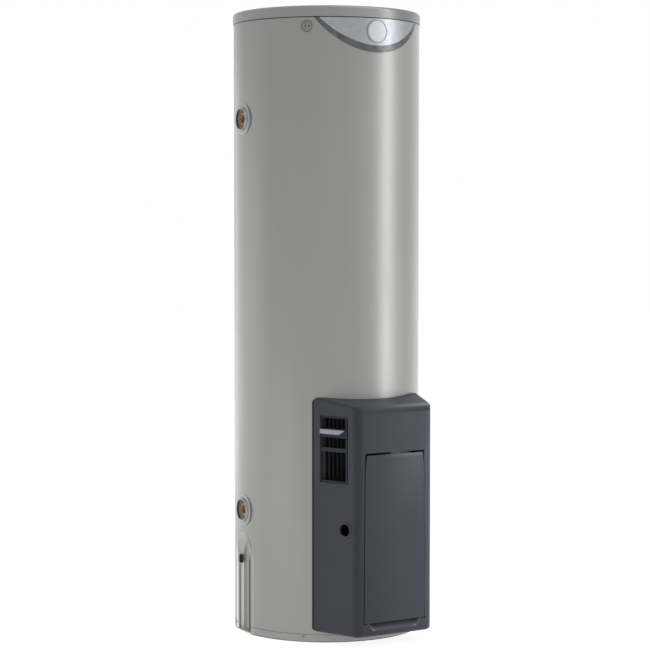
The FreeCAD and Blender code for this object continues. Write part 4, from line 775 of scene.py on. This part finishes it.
def threaded_socket(node, height):
    """The outline turned round the socket's axis, with the ridge of the thread drawn inwards."""
    shape = bmesh.new()
    axis, across = around(port_azimuth, 1, 0), around(port_azimuth + 90, 1, 0)
    centre = Vector((0, 0, height))
    ring = [shape.verts.new(centre + axis * out + across * radius) for out, radius in socket_outline()]
    line = [shape.edges.new(pair) for pair in zip(ring, ring[1:] + ring[:1])]
    bmesh.ops.spin(shape, geom=ring + line, cent=centre, axis=axis, angle=2 * math.pi,
                   steps=thread_columns, use_merge=True)
    for vertex in shape.verts:
        out = (vertex.co - centre).dot(axis)
        spoke = vertex.co - centre - axis * out
        if abs(spoke.length - thread_root) < thread_margin:
            turn = math.atan2(spoke.z, spoke.dot(across)) / (2 * math.pi)
            vertex.co = centre + axis * out + spoke.normalized() * thread_radius(out, turn)
    piece = finished(node + "_threaded", shape, "brass")
    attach(piece, "heater")
    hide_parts(node)


def mark(shape, centre, face, angle, start, end):
    """A raised line that runs outwards from the centre at this angle, clockwise from the top."""
    low, high = -face - mark_height, -face + mark_height / 2
    size = Matrix.Diagonal((2 * mark_half_width, high - low, end - start, 1))
    outwards = Matrix.Translation((0, (low + high) / 2, (start + end) / 2))
    turned = Matrix.Rotation(math.radians(angle), 4, "Y")
    middle = Matrix.Translation((centre[0], 0, centre[1]))
    bmesh.ops.create_cube(shape, size=1, matrix=middle @ turned @ outwards @ size)


def control_marks():
    """The pointers of the knob and the dial, and the tick marks round them."""
    for name, body, centre, pointer in (("gas_knob_pointer", "knob", knob_centre, knob_pointer),
                                        ("dial_pointer", "dial", dial_centre, dial_pointer)):
        shape = bmesh.new()
        mark(shape, centre, knob_face, 0, *pointer)
        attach(finished(name, shape, "mark", False), body)
    ticks = bmesh.new()
    for angle in dial_tick_angles:
        mark(ticks, dial_centre, control_face, angle, *dial_tick)
    for angle in knob_tick_angles:
        mark(ticks, knob_centre, control_face, angle, *knob_tick)
    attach(finished("control_ticks", ticks, "mark", False), "heater")


dress_nodes()
threaded_socket("hot_outlet_socket", upper_port)
threaded_socket("cold_inlet_socket", lower_port)
control_marks()


# Floor, light and camera
def seen_by(tree, *rays):
    """1 for these kinds of ray and 0 for the others."""
    path = add(tree, "ShaderNodeLightPath")
    seen = path.outputs[rays[0]]
    for ray in rays[1:]:
        seen = worked("MAXIMUM", seen, path.outputs[ray])
    return seen


def make_floor():
    """A pale floor that keeps the heater's shadow, lit up where the camera or gloss sees it."""
    shape = bmesh.new()
    bmesh.ops.create_grid(shape, x_segments=2, y_segments=2, size=floor_half)
    mesh = bpy.data.meshes.new("floor")
    shape.to_mesh(mesh)
    shape.free()
    floor = bpy.data.objects.new("floor", mesh)
    bpy.context.scene.collection.objects.link(floor)
    material = surface("pale_floor", roughness=0.9)
    paint(material, floor_colour)
    tree = material.node_tree
    glow = add(tree, "ShaderNodeEmission")
    feed(glow.inputs["Strength"], between(seen_by(tree, "Is Glossy Ray"), floor_glow, floor_mirrored_glow,
                                          0.0, 1.0))
    mix = add(tree, "ShaderNodeMixShader")
    seen = seen_by(tree, "Is Camera Ray", "Is Glossy Ray")
    feed(mix.inputs["Fac"], worked("MULTIPLY", seen, floor_glow_share))
    feed(mix.inputs[1], shader_of(material).outputs[0])
    feed(mix.inputs[2], glow.outputs[0])
    feed(tree.nodes["Material Output"].inputs["Surface"], mix.outputs[0])
    mesh.materials.append(material)


def make_world():
    """White where the camera, gloss or glass sees it, and a plain soft light for everything else."""
    world = bpy.data.worlds.new("studio")
    bpy.context.scene.world = world
    world.use_nodes = True
    tree = world.node_tree
    background = tree.nodes["Background"]
    seen = seen_by(tree, "Is Camera Ray", "Is Glossy Ray", "Is Transmission Ray")
    feed(background.inputs["Color"], (1.0, 1.0, 1.0))
    feed(background.inputs["Strength"], between(seen, sky_light, backdrop_white, 0.0, 1.0))


def lamp(name, azimuth, distance, height, size, radiance, aim):
    """A soft box of a given radiance, so that its size sets its softness and not its brightness."""
    width, tall = size
    data = bpy.data.lights.new(name, "AREA")
    data.shape = "RECTANGLE"
    data.size, data.size_y = width, tall
    data.energy = radiance * math.pi * width * tall
    light = bpy.data.objects.new(name, data)
    light.location = around(azimuth, distance, height)
    light.rotation_euler = (Vector((0, 0, aim)) - light.location).to_track_quat("-Z", "Y").to_euler()
    bpy.context.scene.collection.objects.link(light)


def make_camera():
    data = bpy.data.cameras.new("photo_camera")
    data.sensor_width = sensor_millimetres
    data.lens = lens_millimetres
    data.clip_end = camera_range
    camera = bpy.data.objects.new("photo_camera", data)
    to_its_right = around(camera_azimuth + 90, 1, 0)
    camera.location = around(camera_azimuth, camera_distance, camera_height) - to_its_right * camera_aside
    camera.rotation_euler = (math.pi / 2 - camera_tilt, 0.0, math.radians(camera_azimuth))
    bpy.context.scene.collection.objects.link(camera)
    bpy.context.scene.camera = camera


make_floor()
make_world()
lamp("right_strip", azimuth=41.8, distance=1.4, height=1.35, size=(0.23, 2.6), radiance=6.7, aim=1.2)
lamp("right_back_fill", azimuth=112.0, distance=3.0, height=1.2, size=(1.4, 2.4), radiance=0.44, aim=0.85)
lamp("left_back_fill", azimuth=-140.0, distance=3.4, height=0.8, size=(3.0, 1.6), radiance=0.50, aim=0.85)
lamp("left_rim", azimuth=-176.0, distance=3.0, height=0.75, size=(0.5, 2.1), radiance=1.5, aim=0.85)
lamp("top_soft", azimuth=20.0, distance=1.8, height=4.6, size=(2.6, 2.6), radiance=1.35, aim=0.6)
lamp("low_left", azimuth=-84.0, distance=1.5, height=0.30, size=(1.0, 0.5), radiance=0.36, aim=0.25)
make_camera()

view_settings = bpy.context.scene.view_settings
view_settings.view_transform = "Standard"
